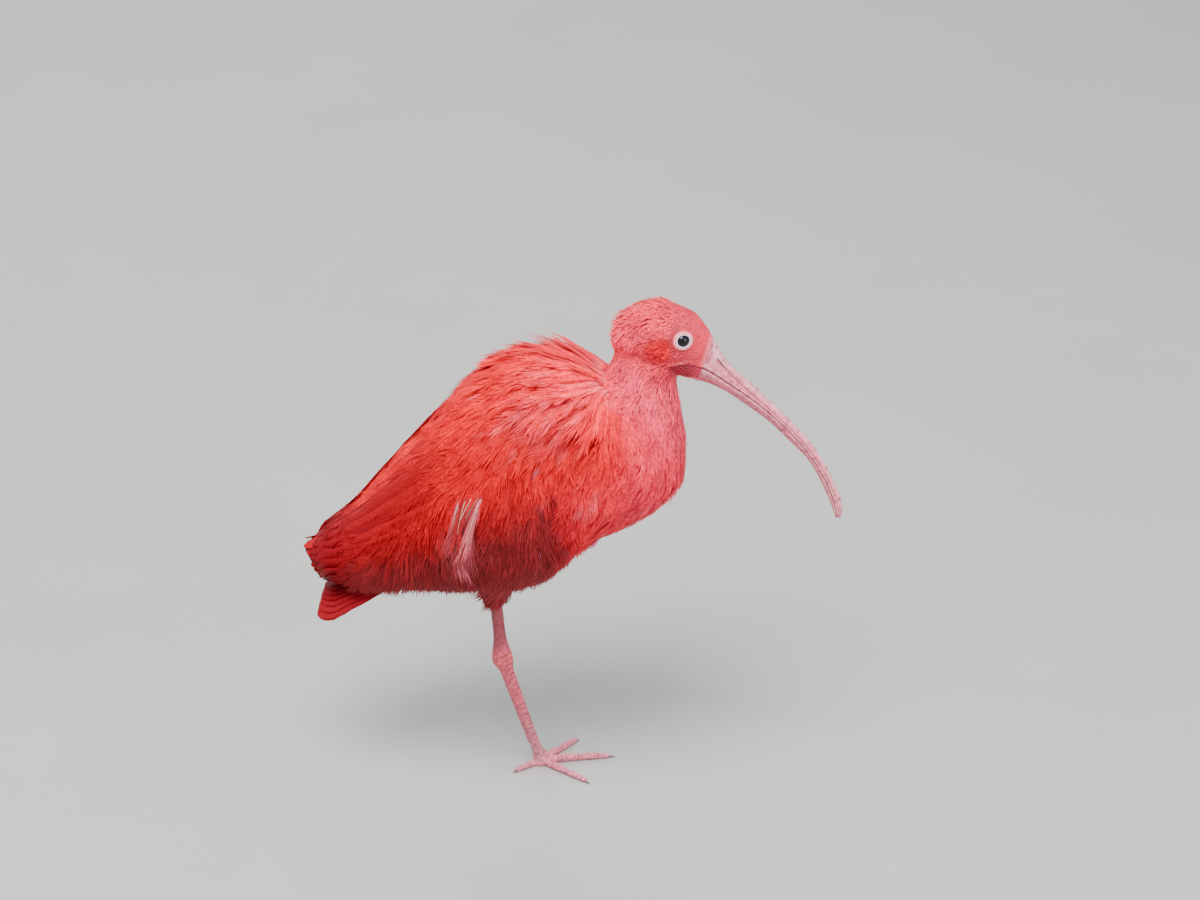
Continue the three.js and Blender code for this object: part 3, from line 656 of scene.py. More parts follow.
class NodeSketch:
    """A short way to write a material's nodes."""

    def __init__(self, name: str) -> None:
        """Start an empty material with a Principled shader.

        Args:
            name: The material's name.
        """
        self.material = bpy.data.materials.new(name)
        self.material.use_nodes = True
        self.tree = self.material.node_tree
        self.shader = self.tree.nodes["Principled BSDF"]

    def node(self, kind: str, **values: object) -> bpy.types.Node:
        """Add a node and set its properties and inputs.

        Args:
            kind: The node's Blender type.
            values: Properties by name, or inputs by their name with spaces as underscores.

        Returns:
            The node.
        """
        made = self.tree.nodes.new(kind)
        for key, value in values.items():
            if hasattr(made, key):
                setattr(made, key, value)
            else:
                made.inputs[key.replace("_", " ")].default_value = value
        return made

    def link(self, source: bpy.types.NodeSocket, target: bpy.types.NodeSocket) -> None:
        """Join two sockets."""
        self.tree.links.new(source, target)

    def set(self, **values: object) -> None:
        """Set the shader's own sockets, by name with spaces as underscores."""
        for key, value in values.items():
            self.shader.inputs[key.replace("_", " ")].default_value = value

    def attribute(self, name: str) -> bpy.types.Node:
        """Read a mesh attribute by name."""
        return self.node("ShaderNodeAttribute", attribute_name=name)

    def math(self, operation: str, first: object, second: object = 0.5) -> bpy.types.NodeSocket:
        """Join two numbers or sockets by a math operation.

        Args:
            operation: Blender's operation name.
            first: A socket or a number.
            second: A socket or a number.

        Returns:
            The result's socket.
        """
        made = self.node("ShaderNodeMath", operation=operation)
        for place, value in enumerate((first, second)):
            if isinstance(value, bpy.types.NodeSocket):
                self.link(value, made.inputs[place])
            else:
                made.inputs[place].default_value = value
        return made.outputs[0]

    def mix(self, share: object, first: object, second: object, blend: str = "MIX") -> bpy.types.NodeSocket:
        """Mix two colours.

        Args:
            share: A socket or a number for the second colour's share.
            first: A socket, a tone or a linear colour.
            second: A socket, a tone or a linear colour.
            blend: Blender's blend type.

        Returns:
            The mixed colour's socket.
        """
        made = self.node("ShaderNodeMix", data_type="RGBA", blend_type=blend)
        for place, value in ((0, share), (6, first), (7, second)):
            if isinstance(value, bpy.types.NodeSocket):
                self.link(value, made.inputs[place])
            elif place == 0:
                made.inputs[0].default_value = value
            else:
                colour = value.light() if isinstance(value, Tone) else value
                made.inputs[place].default_value = (*colour, 1.0)
        return made.outputs[2]

    def ramp(self, source: bpy.types.NodeSocket, *stops: tuple[float, float]) -> bpy.types.NodeSocket:
        """Map a number through a grey ramp.

        Args:
            source: The number's socket.
            stops: Place and value pairs.

        Returns:
            The result's socket.
        """
        made = self.node("ShaderNodeValToRGB")
        ramp = made.color_ramp
        while len(ramp.elements) < len(stops):
            ramp.elements.new(0.5)
        for element, (place, value) in zip(ramp.elements, stops):
            element.position = place
            element.color = (value, value, value, 1.0)
        self.link(source, made.inputs[0])
        return made.outputs[0]

    def noise(self, scale: float, detail: float = 3.0, stretch: tuple = (1, 1, 1)) -> bpy.types.NodeSocket:
        """Add noise in the object's own space.

        Args:
            scale: Cells per metre.
            detail: Octaves.
            stretch: Scale along each axis.

        Returns:
            The noise value's socket.
        """
        place = self.node("ShaderNodeTexCoord")
        mapping = self.node("ShaderNodeMapping")
        mapping.inputs["Scale"].default_value = stretch
        self.link(place.outputs["Object"], mapping.inputs["Vector"])
        made = self.node("ShaderNodeTexNoise", Scale=scale, Detail=detail)
        self.link(mapping.outputs[0], made.inputs["Vector"])
        return made.outputs["Fac"]

    def bump(self, height: bpy.types.NodeSocket, strength: float, distance: float) -> None:
        """Drive the shader's normal by a height.

        Args:
            height: The height's socket.
            strength: Share of the effect.
            distance: Height of a full step, in metres.
        """
        made = self.node("ShaderNodeBump", Strength=strength, Distance=distance)
        self.link(height, made.inputs["Height"])
        self.link(made.outputs[0], self.shader.inputs["Normal"])

    def paint(self, colour: bpy.types.NodeSocket, shade: bpy.types.NodeSocket | None = None) -> None:
        """Drive the shader's colour.

        Args:
            colour: The colour's socket.
            shade: A grey factor that darkens or lightens it.
        """
        if shade is not None:
            colour = self.mix(1.0, colour, shade, "MULTIPLY")
        self.link(colour, self.shader.inputs["Base Color"])

    def varied(self, reach: float) -> bpy.types.NodeSocket:
        """Return a factor around 1 that differs from feather to feather.

        Args:
            reach: How far it goes to either side of 1.

        Returns:
            The factor's socket.
        """
        factor = self.math("MULTIPLY_ADD", self.attribute("draw").outputs["Fac"], reach * 2)
        factor.node.inputs[2].default_value = 1 - reach
        return factor


FEATHER_GLINT = (1.0, 0.35, 0.3, 1.0)
FEATHER_SHEEN = (1.0, 0.4, 0.36, 1.0)


@dataclass(frozen=True)
class CoatFinish:
    """The finish of feathers: region colour, paler towards the root, varied feather by feather."""

    name: str
    pale_end: float = 0.45
    pale_share: float = 0.45
    roughness: float = 0.6
    sheen: float = 0.04
    variation: float = 0.30

    def make(self) -> bpy.types.Material:
        """Return the material.

        Returns:
            The material.
        """
        sketch = NodeSketch(self.name)
        tone = sketch.attribute("tone")
        root = sketch.ramp(tone.outputs["Alpha"], (0.0, self.pale_share), (self.pale_end, 0.0))
        rooted = sketch.mix(root, tone.outputs["Color"], Tone.PALE)
        streak = sketch.ramp(sketch.noise(420.0, 2.0), (0.3, 0.76), (0.7, 1.12))
        sketch.paint(rooted, sketch.math("MULTIPLY", sketch.varied(self.variation), streak))
        sketch.set(Roughness=self.roughness, Specular_IOR_Level=0.12, Specular_Tint=FEATHER_GLINT)
        sketch.set(Sheen_Weight=self.sheen, Sheen_Roughness=0.45, Sheen_Tint=FEATHER_SHEEN)
        return sketch.material


@dataclass(frozen=True)
class SkinFinish:
    """The finish of the skin: the coat's markings, darkened as painted shade under the feathers, with bare
    crimson folds on the face that carry painted shade and painted highlights.
    """

    name: str = "ibis_skin"

    def make(self) -> bpy.types.Material:
        """Return the material.

        Returns:
            The material.
        """
        sketch = NodeSketch(self.name)
        fine = sketch.noise(900.0, 4.0)
        sketch.paint(sketch.attribute("tone").outputs["Color"], sketch.ramp(fine, (0.3, 0.78), (0.7, 1.1)))
        sketch.set(Roughness=0.5, Specular_IOR_Level=0.35, Subsurface_Weight=0.08, Subsurface_Scale=0.002)
        sketch.bump(fine, 0.5, 0.0004)
        return sketch.material


# Skin


def half_space_blend(points: np.ndarray, origin: tuple, normal: tuple, width: float) -> np.ndarray:
    """Return 0 to 1 across a soft plane.

    Args:
        points: Rows of points.
        origin: A point on the plane.
        normal: The way in which the share rises.
        width: Width of the soft band.

    Returns:
        The shares.
    """
    reach = (points - np.array(origin, float)) @ unit(np.array(normal, float))
    return smooth(reach, -width, width)


def head_share(points: np.ndarray) -> np.ndarray:
    """Return how far each point belongs to the head rather than to the neck."""
    return half_space_blend(points, (76, 0, 321), (0.58, 0, 1), 5.0)


def neck_share(points: np.ndarray) -> np.ndarray:
    """Return how far each point belongs to the neck and head rather than to the trunk."""
    return half_space_blend(points, (50, 0, 312), (1, 0, 0.95), 8.0)


# Places on the face, seen from the side: the eye, the mouth's line, the bare crimson patch
# and the line where skin meets bill
EYE_AXIS = np.array([0.3, 1.0, 0.16])
EYE_CENTRE = np.array([98.8, 12.9, 345.3])
GAPE_X = (88.0, 91.0, 97.0, 105.0, 112.5, 119.5)
GAPE_Z = (324.6, 325.0, 326.3, 325.4, 321.6, 317.6)
CRIMSON_X = (88.0, 91.5, 97.0, 102.6, 107.0, 110.3, 114.0)
CRIMSON_TOP = (324.5, 325.3, 327.4, 328.7, 327.2, 324.8, 322.0)
CRIMSON_FOOT = (323.0, 321.5, 316.6, 315.6, 314.4, 313.4, 312.0)
BORDER_Z = (300.0, 309.0, 318.0, 324.7, 333.7, 341.0, 346.0)
BORDER_X = (108.5, 110.0, 111.5, 114.2, 117.6, 120.0, 121.5)


def about_eye(points: np.ndarray, side: int) -> tuple[np.ndarray, np.ndarray, np.ndarray]:
    """Measure places against the line along which an eye looks.

    Args:
        points: Rows of points.
        side: The eye's side.

    Returns:
        The line's way, how far each point lies along it, and how far away from it.
    """
    axis = unit(EYE_AXIS * (1, side, 1))
    reach = points - EYE_CENTRE * (1, side, 1)
    along = reach @ axis
    return axis, along, np.linalg.norm(reach - along[:, None] * axis, axis=1)


def crimson_share(points: np.ndarray) -> np.ndarray:
    """Return how far each place lies in the bare crimson patch behind the bill.

    Args:
        points: Rows of points.

    Returns:
        The shares.
    """
    x, z = points[:, 0], points[:, 2]
    under_top = smooth(np.interp(x, CRIMSON_X, CRIMSON_TOP) - z, -0.5, 0.6)
    over_foot = smooth(z - np.interp(x, CRIMSON_X, CRIMSON_FOOT), -1.2, 0.8)
    return under_top * over_foot * smooth(x, 90.0, 92.5)


def pleat_wave(points: np.ndarray) -> np.ndarray:
    """Return the wave of the fine folds in the crimson patch, from -1 to 1."""
    x, z = points[:, 0], points[:, 2]
    return np.sin((z * 0.74 + x * 0.67) * 2.75 + 1.0 * np.sin(z * 0.6 - x * 0.3))


def border_reach(points: np.ndarray) -> np.ndarray:
    """Return how far each place lies ahead of the line where skin meets bill."""
    return points[:, 0] - np.interp(points[:, 2], BORDER_Z, BORDER_X)


def region_tone(points: np.ndarray) -> np.ndarray:
    """Return the plumage colour of each place on the bird, darkened on the flank, belly and thighs as
    painted shade.

    Args:
        points: Rows of points near the surface.

    Returns:
        Linear colours, one row each.
    """
    angle = FORM.angle_at(points)
    x, z = points[:, 0], points[:, 2]
    head = head_share(points)
    ear = np.hypot((x - 84.5) / 10.5, (z - 340.5) / 10.0) + 0.14 * drift(points, 9, 3.0)
    return blend(
        Tone.MANTLE,
        (smooth(angle, 30, 56) * smooth(x, 60, 20), Tone.SCAPULAR),
        (smooth(x, -14, 24) * smooth(angle, 60, 34), Tone.SHOULDER),
        (smooth(x, -36, -96) * smooth(angle, 12, 36), Tone.WING),
        # Flank, belly and thigh layers: the red darkened as painted shade low on the body
        (smooth(angle, 66, 98) * smooth(x, 42, 6), Tone.FLANK),
        (0.7 * smooth(angle, 60, 90) * smooth(x, 6, 34), Tone.SHOULDER),
        (smooth(x, 40, 84), Tone.BREAST),
        (smooth(angle, 108, 146) * smooth(x, 44, 8), Tone.BELLY),
        (smooth(z, 176, 150) * smooth(x, -96, -60) * smooth(x, 10, -14), Tone.THIGH),
        (smooth(x, -104, -140) * smooth(angle, 150, 70), Tone.WING_TIP),
        (neck_share(points), Tone.NECK),
        (head * smooth(z, 345, 358), Tone.CROWN),
        (head * smooth(z, 352, 340), Tone.CHEEK),
        (head * smooth(ear, 1.25, 0.5), Tone.EAR),
    )


@dataclass
class Skin:
    """One skin under the whole plumage, from the rump to the face and down the thighs."""

    voxel: float = 1.7
    relaxing: int = 6
    ring_points: int = 72

    def trunk(self) -> tuple:
        """Return the trunk, inside the plumage by the coat's depth.

        Returns:
            Points and faces.
        """
        rings = []
        turn = np.radians((np.arange(self.ring_points) + 0.5) * 360 / self.ring_points)
        for x in np.concatenate([np.linspace(FORM.rump_end + 3, 92, 66), [96, 99, 101]]):
            middle, half_height, half_width = FORM.stations(np.array(float(x)))
            share = np.clip((x - FORM.rump_start) / (FORM.rump_end - FORM.rump_start), 0, 1)
            taper = math.sqrt(max(1 - share**2.2, 0.004))
            coat = min(FORM.trunk_coat, float(half_height) * taper * 0.4)
            wide = float(half_width) * taper - coat
            high = float(half_height) * taper - coat
            across, upward = wide * np.cos(turn), middle + high * np.sin(turn)
            rings.append(np.stack([np.full_like(turn, x), across, upward], 1))
        return loft(rings)

    def neck(self) -> tuple:
        """Return the neck.

        Returns:
            Points and faces.
        """
        turn = np.radians((np.arange(48) + 0.5) * 360 / 48)
        table = spline(np.array(FORM.neck, float), 26)
        rings = []
        for back_x, back_z, front_x, front_z, half in table:
            middle = np.array([(back_x + front_x) / 2, 0, (back_z + front_z) / 2])
            reach = np.array([back_x, 0, back_z]) - middle
            reach *= 1 - FORM.neck_coat / np.linalg.norm(reach)
            side = np.array([0, half - FORM.neck_coat, 0])
            rings.append(middle + np.outer(np.cos(turn), side) + np.outer(np.sin(turn), reach))
        return loft(rings)

    def head(self) -> tuple:
        """Return the head up to the bill.

        Returns:
            Points and faces.
        """
        turn = np.radians((np.arange(64) + 0.5) * 360 / 64)
        table = SmoothTable(list(FORM.head))
        rings = []
        for x in np.concatenate([[52.6, 53.4], np.linspace(54.5, 123, 46)]):
            middle, high, wide = table.at(np.array(x))
            coat = FORM.head_coat * float(smooth(np.array(x), 112, 96)) + 0.25
            power = 2 / 2.15
            across = np.sign(np.cos(turn)) * np.abs(np.cos(turn)) ** power * (wide - coat)
            upward = np.sign(np.sin(turn)) * np.abs(np.sin(turn)) ** power * (high - coat)
            rings.append(np.stack([np.full_like(turn, x), across, middle + upward], 1))
        return loft(rings)

    def thigh(self, ends: tuple, radii: tuple) -> tuple:
        """Return one thigh.

        Args:
            ends: Its top and its lower end.
            radii: Its radii from top to end.

        Returns:
            Points and faces.
        """
        top, end = np.array(ends[0], float), np.array(ends[1], float)
        path = top + np.linspace(0, 1, 16)[:, None] * (end - top)
        reach = np.interp(np.linspace(0, 1, 16), np.linspace(0, 1, len(radii)), radii) - FORM.thigh_coat
        return tube(path, reach, reach, 32)

    def shape_face(self, points: np.ndarray) -> np.ndarray:
        """Press the folds of the face into the skin.

        Args:
            points: Rows of points.

        Returns:
            The shaped points.
        """
        points = points.copy()
        x, z = points[:, 0], points[:, 2]
        side = np.sign(points[:, 1])
        flank = smooth(np.abs(points[:, 1]), 3, 8)
        off = z - np.interp(x, GAPE_X, GAPE_Z)
        groove = smooth(x, 89, 93) * (0.4 * bell(off, 1.7, 0.9) - 0.8 * bell(off, 0, 0.7))
        pleats = 0.26 * pleat_wave(points) * crimson_share(points)
        wrinkles = 0.12 * np.sin(z * 2.6 + 1.5 * np.sin(x * 0.7))
        wrinkles *= smooth(x, 101, 107) * smooth(z, 326, 330)
        points[:, 1] += side * flank * (groove + pleats + wrinkles)
        points[:, 1] *= 1 - 0.20 * smooth(border_reach(points), -15, 0)
        points[:, 2] -= 2.6 * smooth(x, 106, 119) * smooth(z, 328, 344)
        points[:, 2] += 2.4 * smooth(x, 98, 109) * smooth(z, 318, 308)
        ahead = border_reach(points)
        tucked = smooth(ahead, 0.0, 1.0)
        points[:, 0] -= np.clip(ahead, 0, None) * 0.92
        points[:, 1] *= 1 - 0.22 * tucked
        points[:, 2] += (322 - points[:, 2]) * 0.14 * tucked
        for eye_side in SIDES:
            axis, along, radial = about_eye(points, eye_side)
            bowl = smooth(radial, 9.5, 6.5) * (along > 0)
            points -= axis * (bowl * np.clip(along - 2.6, 0, None))[:, None]
        return points

    def build(self, shop: Workshop) -> bpy.types.Object:
        """Build the skin as one remeshed body.

        Args:
            shop: The workshop.

        Returns:
            The skin.
        """
        parts = [
            self.trunk(), self.neck(), self.head(),
            self.thigh(FORM.thigh_right, FORM.thigh_right_radii),
            self.thigh(FORM.thigh_left, FORM.thigh_left_radii),
        ]
        piece = shop.fuse("skin", *merge(parts), self.voxel, self.relaxing)
        self.refine_face(piece, shop)
        points = self.shape_face(shop.points_of(piece.data))
        shop.reshape(piece.data, points)
        write_layer(piece.data, "tone", opaque(self.tones(points)))
        piece.data.materials.append(SkinFinish().make())
        nodes = ("torso", "neck", "head", "leg_right_thigh", "leg_left_thigh")
        return shop.fasten(piece, "body_feather", *nodes)

    def refine_face(self, piece: bpy.types.Object, shop: Workshop) -> None:
        """Split the faces round the eyes and the mouth finer.

        Args:
            piece: The skin.
            shop: The workshop.
        """
        for least_x in (84.0, 88.0):
            mesh = bmesh.new()
            mesh.from_mesh(piece.data)
            near = []
            for edge in mesh.edges:
                middle = ((edge.verts[0].co + edge.verts[1].co) / 2 - Vector(shop.foot)) / MM
                if middle.x > least_x and middle.z > 300:
                    near.append(edge)
            bmesh.ops.subdivide_edges(mesh, edges=near, cuts=1, use_grid_fill=True)
            mesh.to_mesh(piece.data)
            mesh.free()

    def tones(self, points: np.ndarray) -> np.ndarray:
        """Return the skin's colours, with painted shade in the crimson folds and painted highlights on
        their ridges.

        Args:
            points: Rows of points.

        Returns:
            Linear colours.
        """
        x, z = points[:, 0], points[:, 2]
        head, crimson = head_share(points), crimson_share(points)
        reach, wave = border_reach(points), pleat_wave(points)
        ahead = smooth(x, 103, 110)
        folds = crimson * (1 - 0.45 * ahead)
        lip = bell(z - np.interp(x, CRIMSON_X, CRIMSON_TOP), 1.5, 0.9)
        gape = bell(z, np.interp(x, GAPE_X, GAPE_Z), 0.5)
        return blend(
            # The plumage colour at 0.45 of its lightness: painted shade under the feathers
            region_tone(points) * 0.45,
            (head * smooth(reach, -20, -8), Tone.CROWN.light() * 0.92),
            (head * smooth(reach, -5, -1) * 0.7, Tone.LORE),
            (head * smooth(z, 318, 311) * smooth(x, 92, 97), Tone.THROAT),
            (crimson, Tone.CRIMSON),
            # Painted shade in the fold troughs, painted highlight on the fold ridges
            (folds * smooth(wave, 0.3, -0.6) * 0.75, Tone.CRIMSON_FOLD_SHADE),
            (folds * smooth(wave, 0.5, 0.95) * 0.4, Tone.CRIMSON_RIDGE_HIGHLIGHT),
            (crimson * ahead * 0.35, Tone.CRIMSON_FRONT),
            (head * lip * smooth(x, 89, 92) * smooth(x, 107, 102) * 0.7, Tone.LIP),
            (gape * smooth(x, 90, 94) * 0.55, Tone.GAPE),
        )


# The lie of the coat


def lie_of_coat(points: np.ndarray) -> np.ndarray:
    """Return the way in which feathers lie at each place.

    Args:
        points: Rows of points near the surface.

    Returns:
        Unit vectors, not yet laid into the surface.
    """
    angle = FORM.angle_at(points)
    x, z = points[:, 0], points[:, 2]
    side = np.sign(points[:, 1])
    thigh = smooth(z, 172, 152) * smooth(x, -64, -50) * smooth(x, -2, -16) * smooth(angle, 60, 90)
    ruff = smooth(x, 22, 48) * smooth(angle, 12, 30) * smooth(x, 84, 66)
    nape = -0.22 - 0.35 * smooth(x, 80, 56)
    skull = -0.1 - 0.75 * smooth(x, 86, 56) - 0.35 * smooth(z, 340, 318)

    def way(ahead: np.ndarray | float, outward: float, up: np.ndarray | float) -> np.ndarray:
        """Return one vector per point, its middle part towards the point's own side."""
        return np.stack([0 * x + ahead, side * outward, 0 * x + up], 1)

    return unit(blend(
        way(-1, 0.14, -0.25),
        (smooth(angle, 25, 60), way(-0.8, 0.1, -0.8)),
        (smooth(angle, 54, 80), way(-0.13, -0.2, -1)),
        (smooth(angle, 140, 168) * smooth(x, 10, -40), way(-1, 0, -0.25)),
        (smooth(x, -92, -128) * smooth(angle, 135, 100), way(-1, 0, -0.66)),
        (smooth(x, 60, 88) * smooth(angle, 30, 60), way(-0.55, 0.25, -1)),
        (thigh, way(-0.12, -0.05, -1)),
        (ruff, way(-0.5, 0.5, -1)),
        (neck_share(points), way(nape, 0.12, -1)),
        (head_share(points), way(-1, 0.12, skull)),
    ))


class Region(Enum):
    """Parts of the coat, each with feathers of its own kind."""

    FACE = "face"
    HEAD = "head"
    NECK = "neck"
    BREAST = "breast"
    MANTLE = "mantle"
    COVERTS = "coverts"
    FLANK = "flank"
    BELLY = "belly"
    THIGH = "thigh"
    WING = "wing"
    PANEL = "panel"


@dataclass(frozen=True)
class FeatherKind:
    """The size and build of one region's feathers, in millimetres and degrees."""

    region: Region
    spacing: float
    length: float
    width: float
    barbs: int
    lift: float
    spread: float
    barb_half: float
    wander: float = 8.0
    pieces: int = 1
    quill: float = 0.0


KINDS = (
    FeatherKind(Region.FACE, 0.75, 3.6, 1.2, 2, 0.8, 14, 0.17, 14),
    FeatherKind(Region.HEAD, 1.05, 7.5, 1.9, 3, 1.5, 12, 0.20, 14),
    FeatherKind(Region.NECK, 1.6, 12.5, 3.0, 4, 1.9, 11, 0.25, 14),
    FeatherKind(Region.BREAST, 2.5, 19, 5.8, 7, 2.4, 12, 0.31, 11),
    FeatherKind(Region.MANTLE, 2.65, 31, 8.5, 10, 3.0, 11, 0.36, 13, 2),
    FeatherKind(Region.COVERTS, 3.2, 33, 9.0, 10, 2.8, 10, 0.38, 11),
    FeatherKind(Region.FLANK, 2.9, 38, 7.5, 9, 3.0, 8, 0.34, 10, 2),
    FeatherKind(Region.BELLY, 3.4, 24, 7.0, 8, 3.0, 11, 0.34, 13),
    FeatherKind(Region.THIGH, 2.2, 15, 4.5, 6, 4.6, 13, 0.30, 12),
    FeatherKind(Region.WING, 3.1, 34, 8.5, 11, 2.2, 9, 0.35, 10, 4),
    FeatherKind(Region.PANEL, 5.6, 38, 9.5, 20, 6.6, 9, 0.30, 4, 1, 0.30),
)

# Roots of the pale feathers on the flank: place along the body, angle from the top
PANEL_ROOTS = (
    (-61, 76), (-58, 73), (-55, 77), (-52, 72), (-49, 75),
    (-46, 71), (-43, 76), (-40, 72), (-37, 76), (-34, 73),
)


def region_of(points: np.ndarray) -> np.ndarray:
    """Return the number of each point's region, in the order of the Region names.

    Args:
        points: Rows of points near the surface.

    Returns:
        Whole numbers, one each.
    """
    names = list(Region)
    angle = FORM.angle_at(points)
    x, z = points[:, 0], points[:, 2]
    found = np.full(len(points), names.index(Region.FLANK))
    found[angle > 142] = names.index(Region.BELLY)
    found[(angle < 96) & (x < 40)] = names.index(Region.COVERTS)
    found[(angle < 46 + 0.12 * (x + 90)) & (x > -84)] = names.index(Region.MANTLE)
    found[(x > 58) & (angle > 34)] = names.index(Region.BREAST)
    found[(z < 164) & (x > -58) & (x < -6) & (np.abs(points[:, 1]) > 8)] = names.index(Region.THIGH)
    found[neck_share(points) > 0.5] = names.index(Region.NECK)
    head = head_share(points) > 0.5
    found[head] = names.index(Region.HEAD)
    found[head & (x > 94)] = names.index(Region.FACE)
    return found


# One barb: its half width at shares along it, and its triangles
STRAND = ((0.0, 1.0), (0.38, 0.95), (0.74, 0.7), (1.0, 0.0))
STRAND_FACES = ((0, 1, 3), (0, 3, 2), (2, 3, 5), (2, 5, 4), (4, 5, 6))


@dataclass
class Coat:
    """All the body's feathers, set on the skin and lying along it."""

    seed: int = 5
    guide_steps: int = 4
    tuft_patch: float = 0.003
    spine: tuple = (
        (-130, 0, 168), (-86, 0, 203), (-43, 0, 226), (0, 0, 238), (40, 0, 252),
        (66, 0, 276), (76, 0, 304), (80, 0, 330), (100, 0, 345), (126, 0, 336),
    )

    def surface(self, skin: bpy.types.Object, shop: Workshop) -> tuple:
        """Read the skin's triangles.

        Args:
            skin: The skin.
            shop: The workshop.

        Returns:
            Points, triangles and the search tree, in millimetres.
        """
        points = shop.points_of(skin.data)
        skin.data.calc_loop_triangles()
        triangles = np.empty(len(skin.data.loop_triangles) * 3, np.int32)
        skin.data.loop_triangles.foreach_get("vertices", triangles)
        triangles = triangles.reshape(-1, 3)
        return points, triangles, BVHTree.FromPolygons(points.tolist(), triangles.tolist())

    def plumage_sheet(self, depth: float = 1.6) -> tuple:
        """Lay a sheet just under the plumage's surface, for the feathers on the folded wings.

        Args:
            depth: How far the sheet lies inside the plumage.

        Returns:
            Points, triangles and the search tree, in millimetres.
        """
        x = np.linspace(-170, 60, 116)
        turn = np.linspace(0, 360, 120, endpoint=False)
        grid_x, grid_turn = np.meshgrid(x, turn, indexing="ij")
        angle = np.where(grid_turn <= 180, grid_turn, 360 - grid_turn)
        side = np.where(grid_turn <= 180, LEFT, RIGHT)
        height = np.full(grid_x.size, -depth)
        points = FORM.surface(grid_x.ravel(), angle.ravel(), side.ravel(), height)
        around = len(turn)
        row = np.arange(len(x) - 1)[:, None] * around
        low = (row + np.arange(around)).ravel()
        high = (row + (np.arange(around) + 1) % around).ravel()
        corners = ((low, high, high + around), (low, high + around, low + around))
        triangles = np.concatenate([np.stack(three, 1) for three in corners])
        corners = points[triangles]
        out = np.cross(corners[:, 1] - corners[:, 0], corners[:, 2] - corners[:, 0])
        middle = corners.mean(1)
        spine = np.stack([middle[:, 0], 0 * middle[:, 0], FORM.stations(middle[:, 0])[0]], 1)
        inward = (out * (middle - spine)).sum(1) < 0
        triangles[inward] = triangles[inward][:, ::-1]
        return points, triangles, BVHTree.FromPolygons(points.tolist(), triangles.tolist())

    def bare(self, points: np.ndarray) -> np.ndarray:
        """Find the places without feathers: round the eyes, the mouth and the bill's base.

        Args:
            points: Rows of points.

        Returns:
            Whether each is bare.
        """
        x, y, z = points.T
        throat = (crimson_share(points) > 0.3) | ((x > 98) & (z < 317) & (z > 302))
        muzzle = (border_reach(points) > -2.0) & (z > 305) & (x > 96)
        shin = (z < 153) & (x < -14) & (x > -60) & (y < -6)
        bare = throat | muzzle | shin
        for side in SIDES:
            _, along, radial = about_eye(points, side)
            bare |= (radial < 8.2) & (along > 0)
        return bare

    def roots(self, points: np.ndarray, triangles: np.ndarray, kind: FeatherKind,
              rng: np.random.Generator) -> np.ndarray:
        """Scatter evenly spaced roots over a region.

        Args:
            points: The ground's points.
            triangles: The ground's triangles.
            kind: The region's feathers.
            rng: The random draw.

        Returns:
            Root places.
        """
        if kind.region is Region.PANEL:
            return self.panel_roots()
        corners = points[triangles]
        middles = corners.mean(axis=1)
        if kind.region is Region.WING:
            angle, x = FORM.angle_at(middles), middles[:, 0]
            upper_edge = np.where(x < -64, 0, wing_top(x) - 4)
            fade = rng.random(len(x)) ** 2
            wanted = (angle > upper_edge) & (angle < wing_foot(x) - 2 - 34 * fade)
            wanted &= (x < 4 - 34 * rng.random(len(x)) ** 2) & (x > -122 - 8 * (angle < 40))
            from_panel = np.hypot((x + 39) / 16, (middles[:, 2] - 246) / 22)
            wanted &= from_panel >= 1 + 0.25 * rng.random(len(x))
        else:
            wanted = region_of(middles) == list(Region).index(kind.region)
        corners = corners[wanted]
        cross = np.cross(corners[:, 1] - corners[:, 0], corners[:, 2] - corners[:, 0])
        area = np.linalg.norm(cross, axis=1) / 2
        tries = int(area.sum() / kind.spacing**2 * 4)
        chosen = rng.choice(len(area), tries, p=area / area.sum())
        a, b = rng.random((2, tries))
        flip = a + b > 1
        a[flip], b[flip] = 1 - a[flip], 1 - b[flip]
        first, second, third = corners[chosen].transpose(1, 0, 2)
        places = first + a[:, None] * (second - first) + b[:, None] * (third - first)
        kept, cells = [], {}
        room = kind.spacing * 0.78
        grid = np.floor(places / room).astype(int)
        steps = list(product((-1, 0, 1), repeat=3))
        for number, (place, (i, j, k)) in enumerate(zip(places, grid.tolist())):
            near = [cells[i + a, j + b, k + c] for a, b, c in steps if (i + a, j + b, k + c) in cells]
            if all(((other - place) ** 2).sum() >= room * room for other in near):
                cells[i, j, k] = place
                kept.append(number)
        places = places[kept]
        return places[~self.bare(places)]

    def panel_roots(self) -> np.ndarray:
        """Return the roots of the pale feathers behind each wing's edge."""
        x, angle = np.array(PANEL_ROOTS, float).T
        return np.concatenate([FORM.surface(x, angle, side, np.full(len(x), -1.6)) for side in SIDES])

